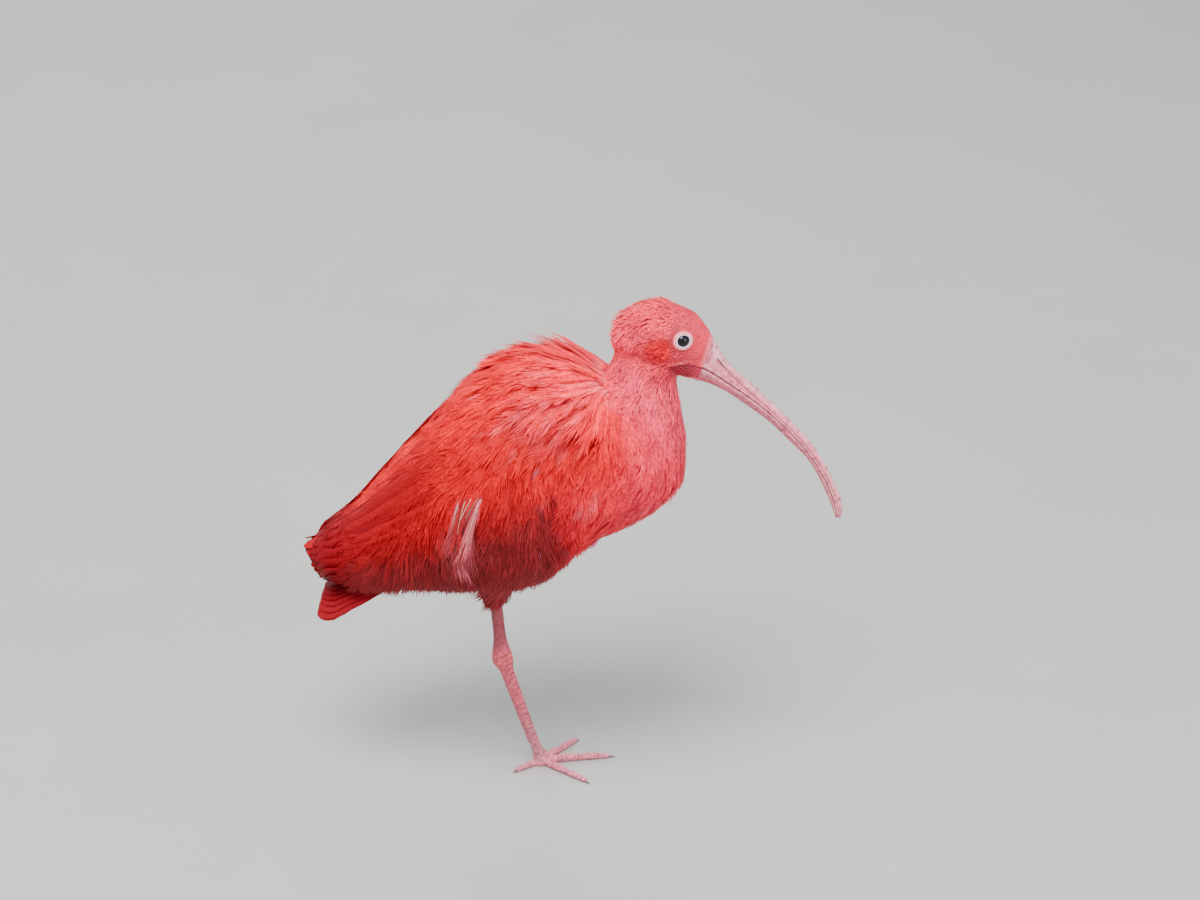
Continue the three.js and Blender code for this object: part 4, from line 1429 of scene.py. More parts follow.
    def guides(self, roots: np.ndarray, length: np.ndarray, turn: np.ndarray, tree: BVHTree) -> tuple:
        """Walk each feather's shaft along the skin.

        Args:
            roots: Root places.
            length: Each feather's length.
            turn: How far each feather turns from the lie, in radians.
            tree: The skin's search tree.

        Returns:
            Shaft points, normals and tangents, each of shape feathers by steps by 3.
        """
        count = len(roots)
        spots = np.zeros((count, self.guide_steps + 1, 3))
        normals = np.zeros_like(spots)
        ways = np.zeros_like(spots)
        here = roots.copy()
        step = length / self.guide_steps
        for k in range(self.guide_steps + 1):
            normal = np.zeros_like(here)
            place = np.zeros_like(here)
            for i in range(count):
                found, facing, _, _ = tree.find_nearest(here[i])
                place[i] = found
                normal[i] = facing
            if k:
                normal = unit(normal + normals[:, k - 1])
            flow = lie_of_coat(place)
            flow = unit(flow - (flow * normal).sum(1, keepdims=True) * normal)
            aside = np.cross(normal, flow)
            way = unit(flow * np.cos(turn)[:, None] + aside * np.sin(turn)[:, None])
            if k:
                way = unit(way + ways[:, k - 1])
            spots[:, k] = place
            normals[:, k] = normal
            ways[:, k] = way
            here = place + way * step[:, None]
        return spots, normals, ways

    def unwrap(self, points: np.ndarray) -> np.ndarray:
        """Lay the skin's own shape flat: round the body against along it.

        Args:
            points: Rows of points.

        Returns:
            Places from 0 to 1 on the unwrap.
        """
        dense = spline(np.array(self.spine, float), 120)
        ahead = unit(np.gradient(dense, axis=0))
        reach = ((points[:, None, :] - dense[None]) ** 2).sum(2)
        near = reach.argmin(1)
        offset = points - dense[near]
        upward = np.stack([-ahead[near, 2], np.zeros(len(points)), ahead[near, 0]], 1)
        turn = np.arctan2(offset[:, 1], (offset * upward).sum(1))
        v = (near + (offset * ahead[near]).sum(1) / 2.5) / 120
        x, y, z = points.T
        leg = (z < 162) & (np.abs(y) > 6) & (x < -6) & (x > -60)
        u = 0.02 + 0.96 * (turn / (2 * np.pi) + 0.5)
        v = 0.10 + 0.86 * np.clip(v, 0, 1)
        v = np.where(leg, 0.01 + 0.08 * (162 - z) / 40, v)
        return np.stack([u, np.clip(v, 0.004, 0.996)], 1)

    def feathers(self, kind: FeatherKind, roots: np.ndarray, tree: BVHTree,
                 rng: np.random.Generator) -> Buffer:
        """Build the barbed feathers of one region.

        Args:
            kind: The region's feathers.
            roots: Root places.
            tree: The skin's search tree.
            rng: The random draw.

        Returns:
            The mesh of all of them.
        """
        count = len(roots)
        length = kind.length * self.length_share(kind, roots) * rng.uniform(0.82, 1.2, count)
        turn = np.radians(rng.normal(0, kind.wander, count) + 16 * drift(roots, 2.2 * kind.length, 2.0))
        spots, normals, ways = self.guides(roots, length, turn, tree)
        asides = np.cross(normals, ways)
        width = kind.width * (length / kind.length) ** 0.5 * rng.uniform(0.85, 1.15, count)
        lift = kind.lift * self.lift_share(kind, roots, rng)
        steps = self.guide_steps

        def at(share: np.ndarray, values: np.ndarray) -> np.ndarray:
            """Read guide values at shares along each shaft.

            Args:
                share: Shares along each shaft.
                values: The guide values.

            Returns:
                The values there.
            """
            place = np.clip(share, 0, 1) * steps
            low = np.minimum(place.astype(int), steps - 1)
            part = (place - low)[..., None]
            row = np.arange(count)[:, None]
            return values[row, low] * (1 - part) + values[row, low + 1] * part

        def rise(share: np.ndarray) -> np.ndarray:
            """Return the height of the shaft over the skin."""
            return -0.5 + lift[:, None] * np.clip(share, 0, 1.3) ** 0.75

        barbs = kind.barbs * 2
        share = np.tile(np.linspace(0.05, 0.9, kind.barbs), 2) + rng.uniform(-0.03, 0.03, (count, barbs))
        hand = np.repeat([-1.0, 1.0], kind.barbs)[None]
        vane = np.sin(np.pi * np.clip(share * 0.86 + 0.1, 0, 1)) ** 0.7
        spread = np.radians(kind.spread) * (1.1 - 0.5 * share) * rng.uniform(0.75, 1.25, share.shape)
        reach = width[:, None] / 2 * vane / math.sin(math.radians(kind.spread))
        reach = reach * rng.uniform(0.75, 1.2, share.shape)
        curl = rng.normal(0, 0.05, share.shape)
        corners, along = [], []
        for part, half in STRAND:
            forward = reach * part * np.cos(spread)
            outward = reach * part * (np.sin(spread) * hand * (1.2 - 0.55 * part) + curl * part)
            place = share + forward / length[:, None]
            beyond = np.clip(place - 1, 0, None) * length[:, None]
            middle = at(place, spots) + beyond[..., None] * ways[:, -1][:, None]
            normal, way, aside = at(place, normals), at(place, ways), at(place, asides)
            height = rise(place) - 0.06 * np.abs(outward) ** 1.3
            point = middle + outward[..., None] * aside + height[..., None] * normal
            across = aside * np.cos(spread)[..., None] - way * (np.sin(spread) * hand)[..., None]
            offset = across * (kind.barb_half * half)
            corners += [point - offset, point + offset] if half else [point]
            along += [place, place] if half else [place]
        points = np.stack(corners, axis=2).reshape(-1, 3)
        strands = count * barbs
        base = (np.arange(strands) * len(corners))[:, None]
        triangles = np.concatenate([base + np.array([row]) for row in STRAND_FACES])
        per_feather = barbs * len(corners)
        middle = (spots[:, 2] + spots[:, 3]) / 2
        colours = np.repeat(self.feather_tone(kind, middle, rng), per_feather, axis=0)
        tone = np.column_stack([colours, np.clip(np.stack(along, axis=2).reshape(-1), 0, 1)])
        draw = 0.62 * np.repeat(rng.random(count), per_feather)
        draw += 0.38 * np.repeat(rng.random(strands), len(corners))
        local = (rng.random((len(points), 2)) - 0.5) * self.tuft_patch
        patch = np.repeat(self.unwrap(roots), per_feather, axis=0) + local
        buffer = Buffer()
        buffer.add(points, triangles, tone=tone, draw=draw, patch=patch)
        if kind.quill:
            self.add_quills(buffer, kind, roots, (spots, normals, asides, lift), rng)
        return buffer

    def add_quills(self, buffer: Buffer, kind: FeatherKind, roots: np.ndarray, guide: tuple,
                   rng: np.random.Generator) -> None:
        """Lay a pale shaft along the middle of each feather.

        Args:
            buffer: The mesh that the shafts join.
            kind: The region's feathers.
            roots: Root places.
            guide: Shaft points, normals, sideways ways and lifts.
            rng: The random draw.
        """
        spots, normals, asides, lift = guide
        steps = self.guide_steps
        share = np.linspace(0, 1, steps + 1)[None, :, None]
        height = -0.5 + lift[:, None, None] * share**0.75 + 0.45
        half = kind.quill * (1 - 0.75 * share)
        left = spots + normals * height + asides * half
        right = spots + normals * height - asides * half
        points = np.stack([left, right], axis=2)[:, 1:].reshape(-1, 3)
        base = (np.arange(len(roots)) * steps * 2)[:, None]
        triangles = []
        for k in range(steps - 1):
            triangles.append(base + np.array([[2 * k, 2 * k + 1, 2 * k + 3]]))
            triangles.append(base + np.array([[2 * k, 2 * k + 3, 2 * k + 2]]))
        strength = np.repeat(rng.choice((0.16, 0.3, 0.6), len(roots)), steps * 2)
        tone = opaque(Tone.QUILL.light() * strength[:, None])
        patch = np.repeat(self.unwrap(roots), steps * 2, axis=0)
        patch += (rng.random((len(points), 2)) - 0.5) * self.tuft_patch
        draw = np.full(len(points), 0.6)
        buffer.add(points, np.concatenate(triangles), tone=tone, draw=draw, patch=patch)

    def feather_tone(self, kind: FeatherKind, places: np.ndarray, rng: np.random.Generator) -> np.ndarray:
        """Return each feather's colour, with paler tufts where their bases show, a painted highlight on the
        hump and painted shade along a crease on the side.

        Args:
            kind: The region's feathers.
            places: The places where the feathers show.
            rng: The random draw.

        Returns:
            Linear colours, one row each.
        """
        count = len(places)
        x, z = places[:, 0], places[:, 2]
        tones = region_tone(places) * (1 + 0.14 * drift(places, 26, 1.0))[:, None]
        pale = np.zeros(count)
        if kind.region in (Region.MANTLE, Region.COVERTS, Region.BREAST):
            pale = smooth(drift(places, 40, 4.0), 0.35, 1.0) * rng.random(count) ** 2 * 0.36
            pale *= smooth(x, -60, -30)
        if kind.region is Region.PANEL:
            pale = rng.uniform(0.02, 0.2, count)
        fringe = smooth(np.hypot((x - 41) / 9, (z - 251) / 15), 1.1, 0.5)
        pale = np.maximum(pale, fringe * rng.random(count) ** 1.4 * 0.75)
        # Painted highlight: paler feathers on the hump at the base of the neck, where the light falls
        highlight = smooth(np.hypot((x - 14) / 30, (z - 306) / 24), 1.1, 0.4)
        pale = np.maximum(pale, highlight * rng.random(count) * 0.26)
        panel = np.hypot((x + 52) / 15, (z - 222) / 24)
        pale = np.maximum(pale, smooth(panel, 1.15, 0.6) * rng.random(count) ** 1.3 * 0.42)
        tones = blend(tones, (pale, Tone.PALE.light() * (0.8, 0.62, 0.62)))
        # Painted shade: feathers darker along a crease on the side of the body
        crease_shade = bell((x - 17) * 0.88 - (z - 221) * 0.48, 0, 3.5)
        along = np.hypot((x - 16) / 18, (z - 219) / 18)
        return tones * (1 - 0.6 * crease_shade * smooth(along, 1.1, 0.6))[:, None]

    def length_share(self, kind: FeatherKind, roots: np.ndarray) -> np.ndarray:
        """Return how long feathers are against their kind's length.

        Args:
            kind: The region's feathers.
            roots: Root places.

        Returns:
            A factor for each root.
        """
        x, _, z = roots.T
        if kind.region is Region.HEAD:
            return 0.65 + 0.5 * smooth(x, 95, 60)
        if kind.region is Region.FACE:
            return 0.45 + 0.6 * smooth(border_reach(roots), -3, -22)
        if kind.region is Region.NECK:
            return 0.75 + 0.5 * (1 - head_share(roots)) * smooth(z, 325, 285)
        if kind.region is Region.THIGH:
            return 0.45 + 0.9 * smooth(z, 152, 170)
        if kind.region is Region.WING:
            return 1 - 0.5 * smooth(x, -88, -122)
        if kind.region in (Region.FLANK, Region.BELLY):
            return 1 - 0.42 * smooth(z, 206, 178) * smooth(x, -8, -36)
        return np.ones(len(roots))

    def lift_share(self, kind: FeatherKind, roots: np.ndarray, rng: np.random.Generator) -> np.ndarray:
        """Return how far feathers stand off against their kind's lift.

        Args:
            kind: The region's feathers.
            roots: Root places.
            rng: The random draw.

        Returns:
            A factor for each root.
        """
        count = len(roots)
        x, _, z = roots.T
        share = rng.uniform(0.6, 1.25, count)
        if kind.region is Region.MANTLE:
            angle = FORM.angle_at(roots)
            ruffled = smooth(x, 56, 40) * smooth(x, -50, -10) * (0.25 + 0.75 * smooth(angle, 48, 22))
            share += ruffled * rng.uniform(0.0, 1.3, count) ** 2
            hump = smooth(x, 22, 34) * smooth(x, 60, 48) * smooth(angle, 50, 25)
            share += hump * rng.uniform(0.5, 1.9, count)
        if kind.region is Region.HEAD:
            crest = smooth(x, 78, 62) * smooth(z, 340, 352)
            share += crest * rng.uniform(0.0, 2.0, count) ** 1.4
            share += smooth(x, 100, 88) * smooth(z, 352, 362) * 1.1
        return share

    def build(self, shop: Workshop, skin: bpy.types.Object) -> None:
        """Build and fasten every region's feathers.

        Args:
            shop: The workshop.
            skin: The skin.
        """
        ground = self.surface(skin, shop)
        wing_ground = self.plumage_sheet()
        finish = CoatFinish("ibis_coat").make()
        down = CoatFinish("ibis_down", pale_end=0.3, pale_share=0.5, roughness=0.7, sheen=0.08).make()
        for kind in KINDS:
            rng = np.random.default_rng(self.seed + list(Region).index(kind.region))
            on_wing = kind.region in (Region.WING, Region.PANEL)
            points, triangles, tree = wing_ground if on_wing else ground
            roots = self.roots(points, triangles, kind, rng)
            for number in range(kind.pieces):
                part = roots[number::kind.pieces]
                buffer = self.feathers(kind, part, tree, rng)
                name = f"coat_{kind.region.value}" + (f"_{number + 1}" if kind.pieces > 1 else "")
                piece = shop.from_buffer(name, buffer)
                soft = kind.region in (Region.FACE, Region.HEAD, Region.NECK)
                piece.data.materials.append(down if soft else finish)
                shop.fasten(piece, "face_feather" if soft else "body_feather")
                LOG.info("%s: %d feathers, %d faces", name, len(part), len(piece.data.polygons))


# Flight feathers


@dataclass(frozen=True)
class VaneShape:
    """The cut of one smooth feather: its size, its mesh and how its tip and base end."""

    half_width: float
    rows: int = 16
    columns: int = 7
    rounding: float = 0.45
    notch: float = 0.1
    blunt: float = 0.09


def quads(*corners: np.ndarray) -> np.ndarray:
    """Return faces from grids of their four corners' numbers."""
    return np.stack([corner.ravel() for corner in corners], 1)


def smooth_vane(path: np.ndarray, normal: np.ndarray, shape: VaneShape, colour: Tone,
                rng: np.random.Generator) -> tuple[np.ndarray, np.ndarray, dict[str, np.ndarray]]:
    """Build one closed flight feather with a shaft and a slightly frayed edge.

    Args:
        path: Points along the shaft.
        normal: The outward way at each point.
        shape: The vane's cut.
        colour: Its colour.
        rng: The random draw.

    Returns:
        Points, faces and the layers' values.
    """
    draw = rng.random()
    rows, columns = shape.rows, shape.columns
    even = np.linspace(0, 1, rows)
    share = 1 - (1 - even) ** 1.8
    path, normal = (
        np.stack([np.interp(share, even, values[:, k]) for k in range(3)], 1) for values in (path, normal)
    )
    along = unit(np.gradient(path, axis=0))
    aside = unit(np.cross(normal, along))
    up = unit(np.cross(along, aside))
    near_root = np.clip(share / 0.12, 0.25, 1) ** 0.6
    near_tip = np.clip((1 - share) / shape.blunt, 0, 1) ** shape.rounding
    taper = np.minimum(near_root, near_tip)[:, None]
    across = np.linspace(-1, 1, columns)[None]
    fray = rng.uniform(-0.035, 0.035, (rows, columns)) * (np.abs(across) > 0.9)
    half = shape.half_width * taper * (across + fray)
    camber = -0.10 * shape.half_width * across**2 * taper
    shaft = 0.34 * bell(across, 0, 0.12) * (1 - 0.7 * share[:, None])
    slide = -np.abs(across) * shape.half_width * shape.notch * taper
    ripple = 0.10 * np.sin(across * 9 + share[:, None] * 26)
    upper = path[:, None] + aside[:, None] * half[..., None]
    upper = upper + up[:, None] * (camber + shaft + ripple)[..., None] + along[:, None] * slide[..., None]
    lower = upper - up[:, None] * 0.36
    points = np.concatenate([upper.reshape(-1, 3), lower.reshape(-1, 3)])
    top = np.arange(rows * columns).reshape(rows, columns)
    low = top + rows * columns
    faces = np.concatenate([
        quads(top[:-1, :-1], top[1:, :-1], top[1:, 1:], top[:-1, 1:]),
        quads(low[:-1, :-1], low[:-1, 1:], low[1:, 1:], low[1:, :-1]),
        quads(top[:-1, 0], low[:-1, 0], low[1:, 0], top[1:, 0]),
        quads(top[1:, -1], low[1:, -1], low[:-1, -1], top[:-1, -1]),
        quads(top[0, 1:], low[0, 1:], low[0, :-1], top[0, :-1]),
        quads(top[-1, :-1], low[-1, :-1], low[-1, 1:], top[-1, 1:]),
    ])
    run = np.tile(np.repeat(share, columns), 2)
    edge = np.tile(np.abs(across[0]), rows * 2)
    tone = np.column_stack([colour.light() * (1.0 - 0.12 * edge)[:, None], run])
    length = np.linalg.norm(np.diff(path, axis=0), axis=1).sum()
    lane = edge * shape.half_width
    draws = np.full(len(points), draw)
    barbs = np.stack([run * length - 1.4 * lane, lane * 0.12, draws * 90], 1)
    return points, faces, {"tone": tone, "draw": draws, "barbs": barbs}


@dataclass(frozen=True)
class FlightFinish:
    """The finish of flight and tail feathers, with fine barbs across the vane."""

    name: str
    roughness: float = 0.46

    def make(self) -> bpy.types.Material:
        """Return the material.

        Returns:
            The material.
        """
        sketch = NodeSketch(self.name)
        fibres = sketch.node("ShaderNodeTexNoise", Scale=1.5, Detail=2.0)
        sketch.link(sketch.attribute("barbs").outputs["Vector"], fibres.inputs["Vector"])
        fine = fibres.outputs["Fac"]
        shade = sketch.math("MULTIPLY", sketch.varied(0.18), sketch.ramp(fine, (0.3, 0.72), (0.7, 1.15)))
        sketch.paint(sketch.attribute("tone").outputs["Color"], shade)
        sketch.set(Roughness=self.roughness, Specular_IOR_Level=0.16, Specular_Tint=FEATHER_GLINT)
        sketch.bump(fine, 0.35, 0.0003)
        return sketch.material


@dataclass(frozen=True)
class Tier:
    """One row of wing feathers, from its upper to its lower feather."""

    colour: Tone
    count: int
    root: tuple[float, float]
    tip: tuple[float, float]
    across: tuple[float, float]
    half_width: float
    height: tuple[float, float]
    tilt: float
    black_tips: int = 0


PRIMARIES = Tier(Tone.WING_TIP, 9, (-60, -80), (-165, -150), (0.12, 0.99), 12.5, (-6.0, -3.0), 2, 2)
SECONDARIES = Tier(Tone.WING, 15, (-44, -26), (-161, -92), (0.08, 0.99), 11.0, (-5.0, -1.8), 3)


@dataclass
class Wing:
    """A folded wing: tiers of flight feathers under the coverts."""

    side: int
    seed: int = 31
    tiers: tuple[Tier, ...] = (PRIMARIES, SECONDARIES)

    def point(self, x: np.ndarray, across: np.ndarray, height: np.ndarray) -> np.ndarray:
        """Return points on the folded wing."""
        angle = wing_top(x) + across * (wing_foot(x) - wing_top(x))
        return FORM.surface(x, angle, self.side, height)

    def normals(self, x: np.ndarray, across: np.ndarray) -> np.ndarray:
        """Return the outward way at places on the wing."""
        out = self.point(x, across, np.full_like(x, 4.0)) - self.point(x, across, np.zeros_like(x))
        return unit(out)

    def lane(self, tier: Tier, share: float, rows: int) -> tuple[np.ndarray, np.ndarray]:
        """Return where one feather of a tier lies.

        Args:
            tier: The tier.
            share: From 0 for its upper feather to 1 for its lower.
            rows: How many points to return.

        Returns:
            Points along the shaft and the outward ways there.
        """
        start, end, across = (a + share * (b - a) for a, b in (tier.root, tier.tip, tier.across))
        run = np.linspace(0, 1, rows)
        x = start + run * (end - start)
        height = tier.height[0] + np.clip(run * 3, 0, 1) * (tier.height[1] - tier.height[0])
        place = np.full_like(x, across)
        path, normal = self.point(x, place, height), self.normals(x, place)
        way = unit(path[-1] - path[0])
        tilt = math.radians(tier.tilt) * self.side
        return path, unit(normal * math.cos(tilt) + np.cross(way, normal) * math.sin(tilt))

    def build(self, shop: Workshop) -> bpy.types.Object:
        """Build the wing's feathers as one piece.

        Args:
            shop: The workshop.

        Returns:
            The piece.
        """
        rng = np.random.default_rng(self.seed + self.side)
        buffer = Buffer()
        for tier in self.tiers:
            for i in range(tier.count):
                half_width = tier.half_width * rng.uniform(0.9, 1.12)
                shape = VaneShape(half_width)
                path, normal = self.lane(tier, i / (tier.count - 1), shape.rows)
                points, faces, layers = smooth_vane(path, normal, shape, tier.colour, rng)
                tones = layers["tone"]
                far = smooth(points[:, 0], -104, -150) * 0.8
                black = smooth(tones[:, 3], 0.93, 0.97) * (i >= tier.count - tier.black_tips)
                tones[:, :3] = blend(tones[:, :3], (far, Tone.WING_TIP), (black, Tone.INK))
                buffer.add(points, faces, **layers)
        piece = shop.from_buffer(f"wing_{side_name(self.side)}_feathers", buffer)
        piece.data.materials.append(FlightFinish(f"ibis_flight_{side_name(self.side)}").make())
        return shop.fasten(piece, "wing_feather", f"wing_{side_name(self.side)}")


@dataclass
class Tail:
    """The closed tail of twelve feathers, with coverts up to the wing tips."""

    seed: int = 77
    count: int = 12
    root: tuple[float, float] = (-90, 175)
    tip: tuple[float, float] = (-155, 146)
    covert_root: tuple[float, float] = (-112, 190)
    covert_end: tuple[float, float, float, float] = (-160, 169, 14.5, 15.5)
    covert_levels: int = 7
    covert_places: tuple = (-0.75, 0.0, 0.75)

    def point(self, share: np.ndarray, spread: float, lift: float) -> np.ndarray:
        """Return points on the tail's arched sheet.

        Args:
            share: From 0 at the root to 1 at the tip.
            spread: From -1 on the right to 1 on the left.
            lift: Distance above the sheet.

        Returns:
            The points, one row each.
        """
        x = self.root[0] + share * (self.tip[0] - self.root[0])
        z = self.root[1] + share * (self.tip[1] - self.root[1])
        half = 9 + share * 12
        return np.stack([x, spread * half, z - 6 * spread**2 * (0.4 + share) + lift], 1)

    def build(self, shop: Workshop) -> bpy.types.Object:
        """Build the tail.

        Args:
            shop: The workshop.

        Returns:
            The piece.
        """
        rng = np.random.default_rng(self.seed)
        buffer = Buffer()
        shape = VaneShape(9.0, notch=0.08, blunt=0.08)
        for i in range(self.count):
            spread = 2 * i / (self.count - 1) - 1
            end = 0.96 - 0.06 * spread + rng.uniform(-0.006, 0.006)
            path = self.point(np.linspace(-0.2, end, shape.rows), spread, -abs(spread) * 3.2)
            normal = np.tile(unit(np.array([0.4, spread * 0.35, 1.0])), (shape.rows, 1))
            points, faces, layers = smooth_vane(path, normal, shape, Tone.TAIL, rng)
            buffer.add(points, faces, **layers)
        self.add_coverts(buffer, rng)
        piece = shop.from_buffer("tail_feathers", buffer)
        piece.data.materials.append(FlightFinish("ibis_tail").make())
        return shop.fasten(piece, "tail_feather", "tail")

    def add_coverts(self, buffer: Buffer, rng: np.random.Generator) -> None:
        """Add the coverts on the tail, which close the space between the wing tips.

        Args:
            buffer: The tail's mesh so far.
            rng: The random draw.
        """
        end_x, end_z, end_high, end_wide = self.covert_end
        root_x, root_z = self.covert_root
        for level in np.linspace(-0.84, 0.84, self.covert_levels):
            reach = end_wide * math.sqrt(1 - level**2)
            shape = VaneShape(0.2 * end_wide + 0.28 * reach, rounding=0.5, blunt=0.2)
            for place in self.covert_places:
                tip_x = end_x - 6 * level + rng.uniform(-1, 1)
                tip = np.array([tip_x, reach * place, end_z + end_high * level])
                root = np.array([root_x, 0.6 * reach * place, root_z + 0.6 * end_high * level])
                path = spline(np.array([root, (root + tip) / 2, tip]), shape.rows)
                normal = np.tile(unit(np.array([0.35, 0.7 * place, 1.0])), (shape.rows, 1))
                points, faces, layers = smooth_vane(path, normal, shape, Tone.WING, rng)
                buffer.add(points, faces, **layers)


# Eyes and lids


@dataclass(frozen=True)
class EyeFinish:
    """A dark wet eye with a black pupil."""

    name: str
    reach: float = 5.4
    pupil: tuple[float, float, float] = (0.002, 0.002, 0.003)

    def make(self, centre: np.ndarray, axis: np.ndarray) -> bpy.types.Material:
        """Return the material.

        Args:
            centre: The eyeball's middle in metres.
            axis: The way the eye looks.

        Returns:
            The material.
        """
        sketch = NodeSketch(self.name)
        place = sketch.node("ShaderNodeTexCoord")
        offset = sketch.node("ShaderNodeVectorMath", operation="SUBTRACT")
        offset.inputs[1].default_value = tuple(centre)
        sketch.link(place.outputs["Object"], offset.inputs[0])
        around = sketch.node("ShaderNodeVectorMath", operation="CROSS_PRODUCT")
        around.inputs[1].default_value = tuple(axis)
        sketch.link(offset.outputs[0], around.inputs[0])
        length = sketch.node("ShaderNodeVectorMath", operation="LENGTH")
        sketch.link(around.outputs[0], length.inputs[0])
        scaled = sketch.math("MULTIPLY", length.outputs["Value"], 1 / (self.reach * MM))
        pupil = sketch.ramp(scaled, (0.40, 0.0), (0.47, 1.0))
        iris = sketch.mix(pupil, self.pupil, Tone.IRIS)
        sketch.paint(sketch.mix(sketch.ramp(scaled, (0.72, 0.0), (0.86, 1.0)), iris, Tone.IRIS_RIM))
        sketch.set(Roughness=0.05, Specular_IOR_Level=0.3)
        return sketch.material


@dataclass
class Eye:
    """One eyeball with its ring of bare lid skin."""

    side: int
    radius: float = 5.4
    lid_profile: tuple = (
        (4.9, 2.2), (4.3, 3.0), (4.2, 3.7), (4.5, 4.15), (4.9, 4.2), (5.3, 3.9), (6.0, 3.75), (6.8, 3.2),
        (7.5, 2.3), (8.0, 1.0), (7.8, -0.8),
    )

    def basis(self) -> tuple:
        """Return the eye's centre, axis and two cross axes.

        Returns:
            Four vectors.
        """
        centre = EYE_CENTRE * (1, self.side, 1)
        axis = unit(EYE_AXIS * (1, self.side, 1))
        ahead = unit(np.cross(np.array([0, 0, 1.0]), axis))
        return centre, axis, ahead, unit(np.cross(axis, ahead))

    def ball(self, shop: Workshop, name: str) -> bpy.types.Object:
        """Build the eyeball.

        Args:
            shop: The workshop.
            name: The side in words.

        Returns:
            The piece.
        """
        centre, axis, ahead, upward = self.basis()
        rings = []
        for polar in np.linspace(0.02, math.pi - 0.02, 33):
            turn = np.linspace(0, 2 * math.pi, 48, endpoint=False)
            bulge = 1 + 0.05 * math.exp(-((polar / 0.5) ** 2))
            ring = (np.outer(np.cos(turn), ahead) + np.outer(np.sin(turn), upward)) * math.sin(polar)
            rings.append(centre + self.radius * bulge * (ring + axis * math.cos(polar)))
        points, faces = loft(rings)
        piece = shop.mesh(f"eyeball_{name}", points, [face[::-1] for face in faces])
        piece.data.materials.append(EyeFinish(f"ibis_eye_{name}").make(shop.place(centre), axis))
        return shop.fasten(piece, "eye", f"eye_{name}")

    def lid(self, shop: Workshop, name: str) -> bpy.types.Object:
        """Build the ring of bare skin with its fine folds.

        Args:
            shop: The workshop.
            name: The side in words.

        Returns:
            The piece.
        """
        centre, axis, ahead, upward = self.basis()
        turn = np.linspace(0, 2 * math.pi, 120, endpoint=False)
        profile = spline(np.array(self.lid_profile, float), 30)
        rings = []
        for radius, height in profile:
            oval = radius * (1 + 0.05 * np.cos(turn) ** 2 - 0.03 * np.sin(turn) ** 2)
            pucker = 0.10 * np.sin(turn * 23 + radius * 3) * bell(radius, 6.6, 1.6)
            ring = np.outer(np.cos(turn) * oval, ahead) + np.outer(np.sin(turn) * oval, upward)
            rings.append(centre + ring + np.outer(height + pucker, axis))
        grid = np.arange(len(rings) * len(turn)).reshape(len(rings), len(turn))
        beside = np.roll(grid, -1, axis=1)
        faces = quads(grid, beside, np.roll(beside, -1, axis=0), np.roll(grid, -1, axis=0))
        piece = shop.mesh(f"eyelid_{name}", np.concatenate(rings), faces.tolist())
        radius = np.repeat(profile[:, 0], len(turn))
        write_layer(piece.data, "tone", opaque(blend(
            np.tile(Tone.LID.light(), (len(radius), 1)),
            (smooth(radius, 4.8, 5.2), Tone.LID_LINE),
            (smooth(radius, 5.3, 5.8), Tone.LID_FOLD),
            (smooth(radius, 5.9, 6.9), Tone.CROWN),
        )))
        sketch = NodeSketch(f"ibis_lid_{name}")
        fine = sketch.noise(1500.0, 3.0)
        sketch.paint(sketch.attribute("tone").outputs["Color"], sketch.ramp(fine, (0.3, 0.82), (0.7, 1.1)))
        sketch.set(Roughness=0.42)
        sketch.bump(fine, 0.4, 0.0003)
        piece.data.materials.append(sketch.material)
        return shop.fasten(piece, "bare_skin")

    def build(self, shop: Workshop) -> None:
        """Build the eyeball and its lid.

        Args:
            shop: The workshop.
        """
        name = side_name(self.side)
        self.ball(shop, name)
        self.lid(shop, name)


# Bill


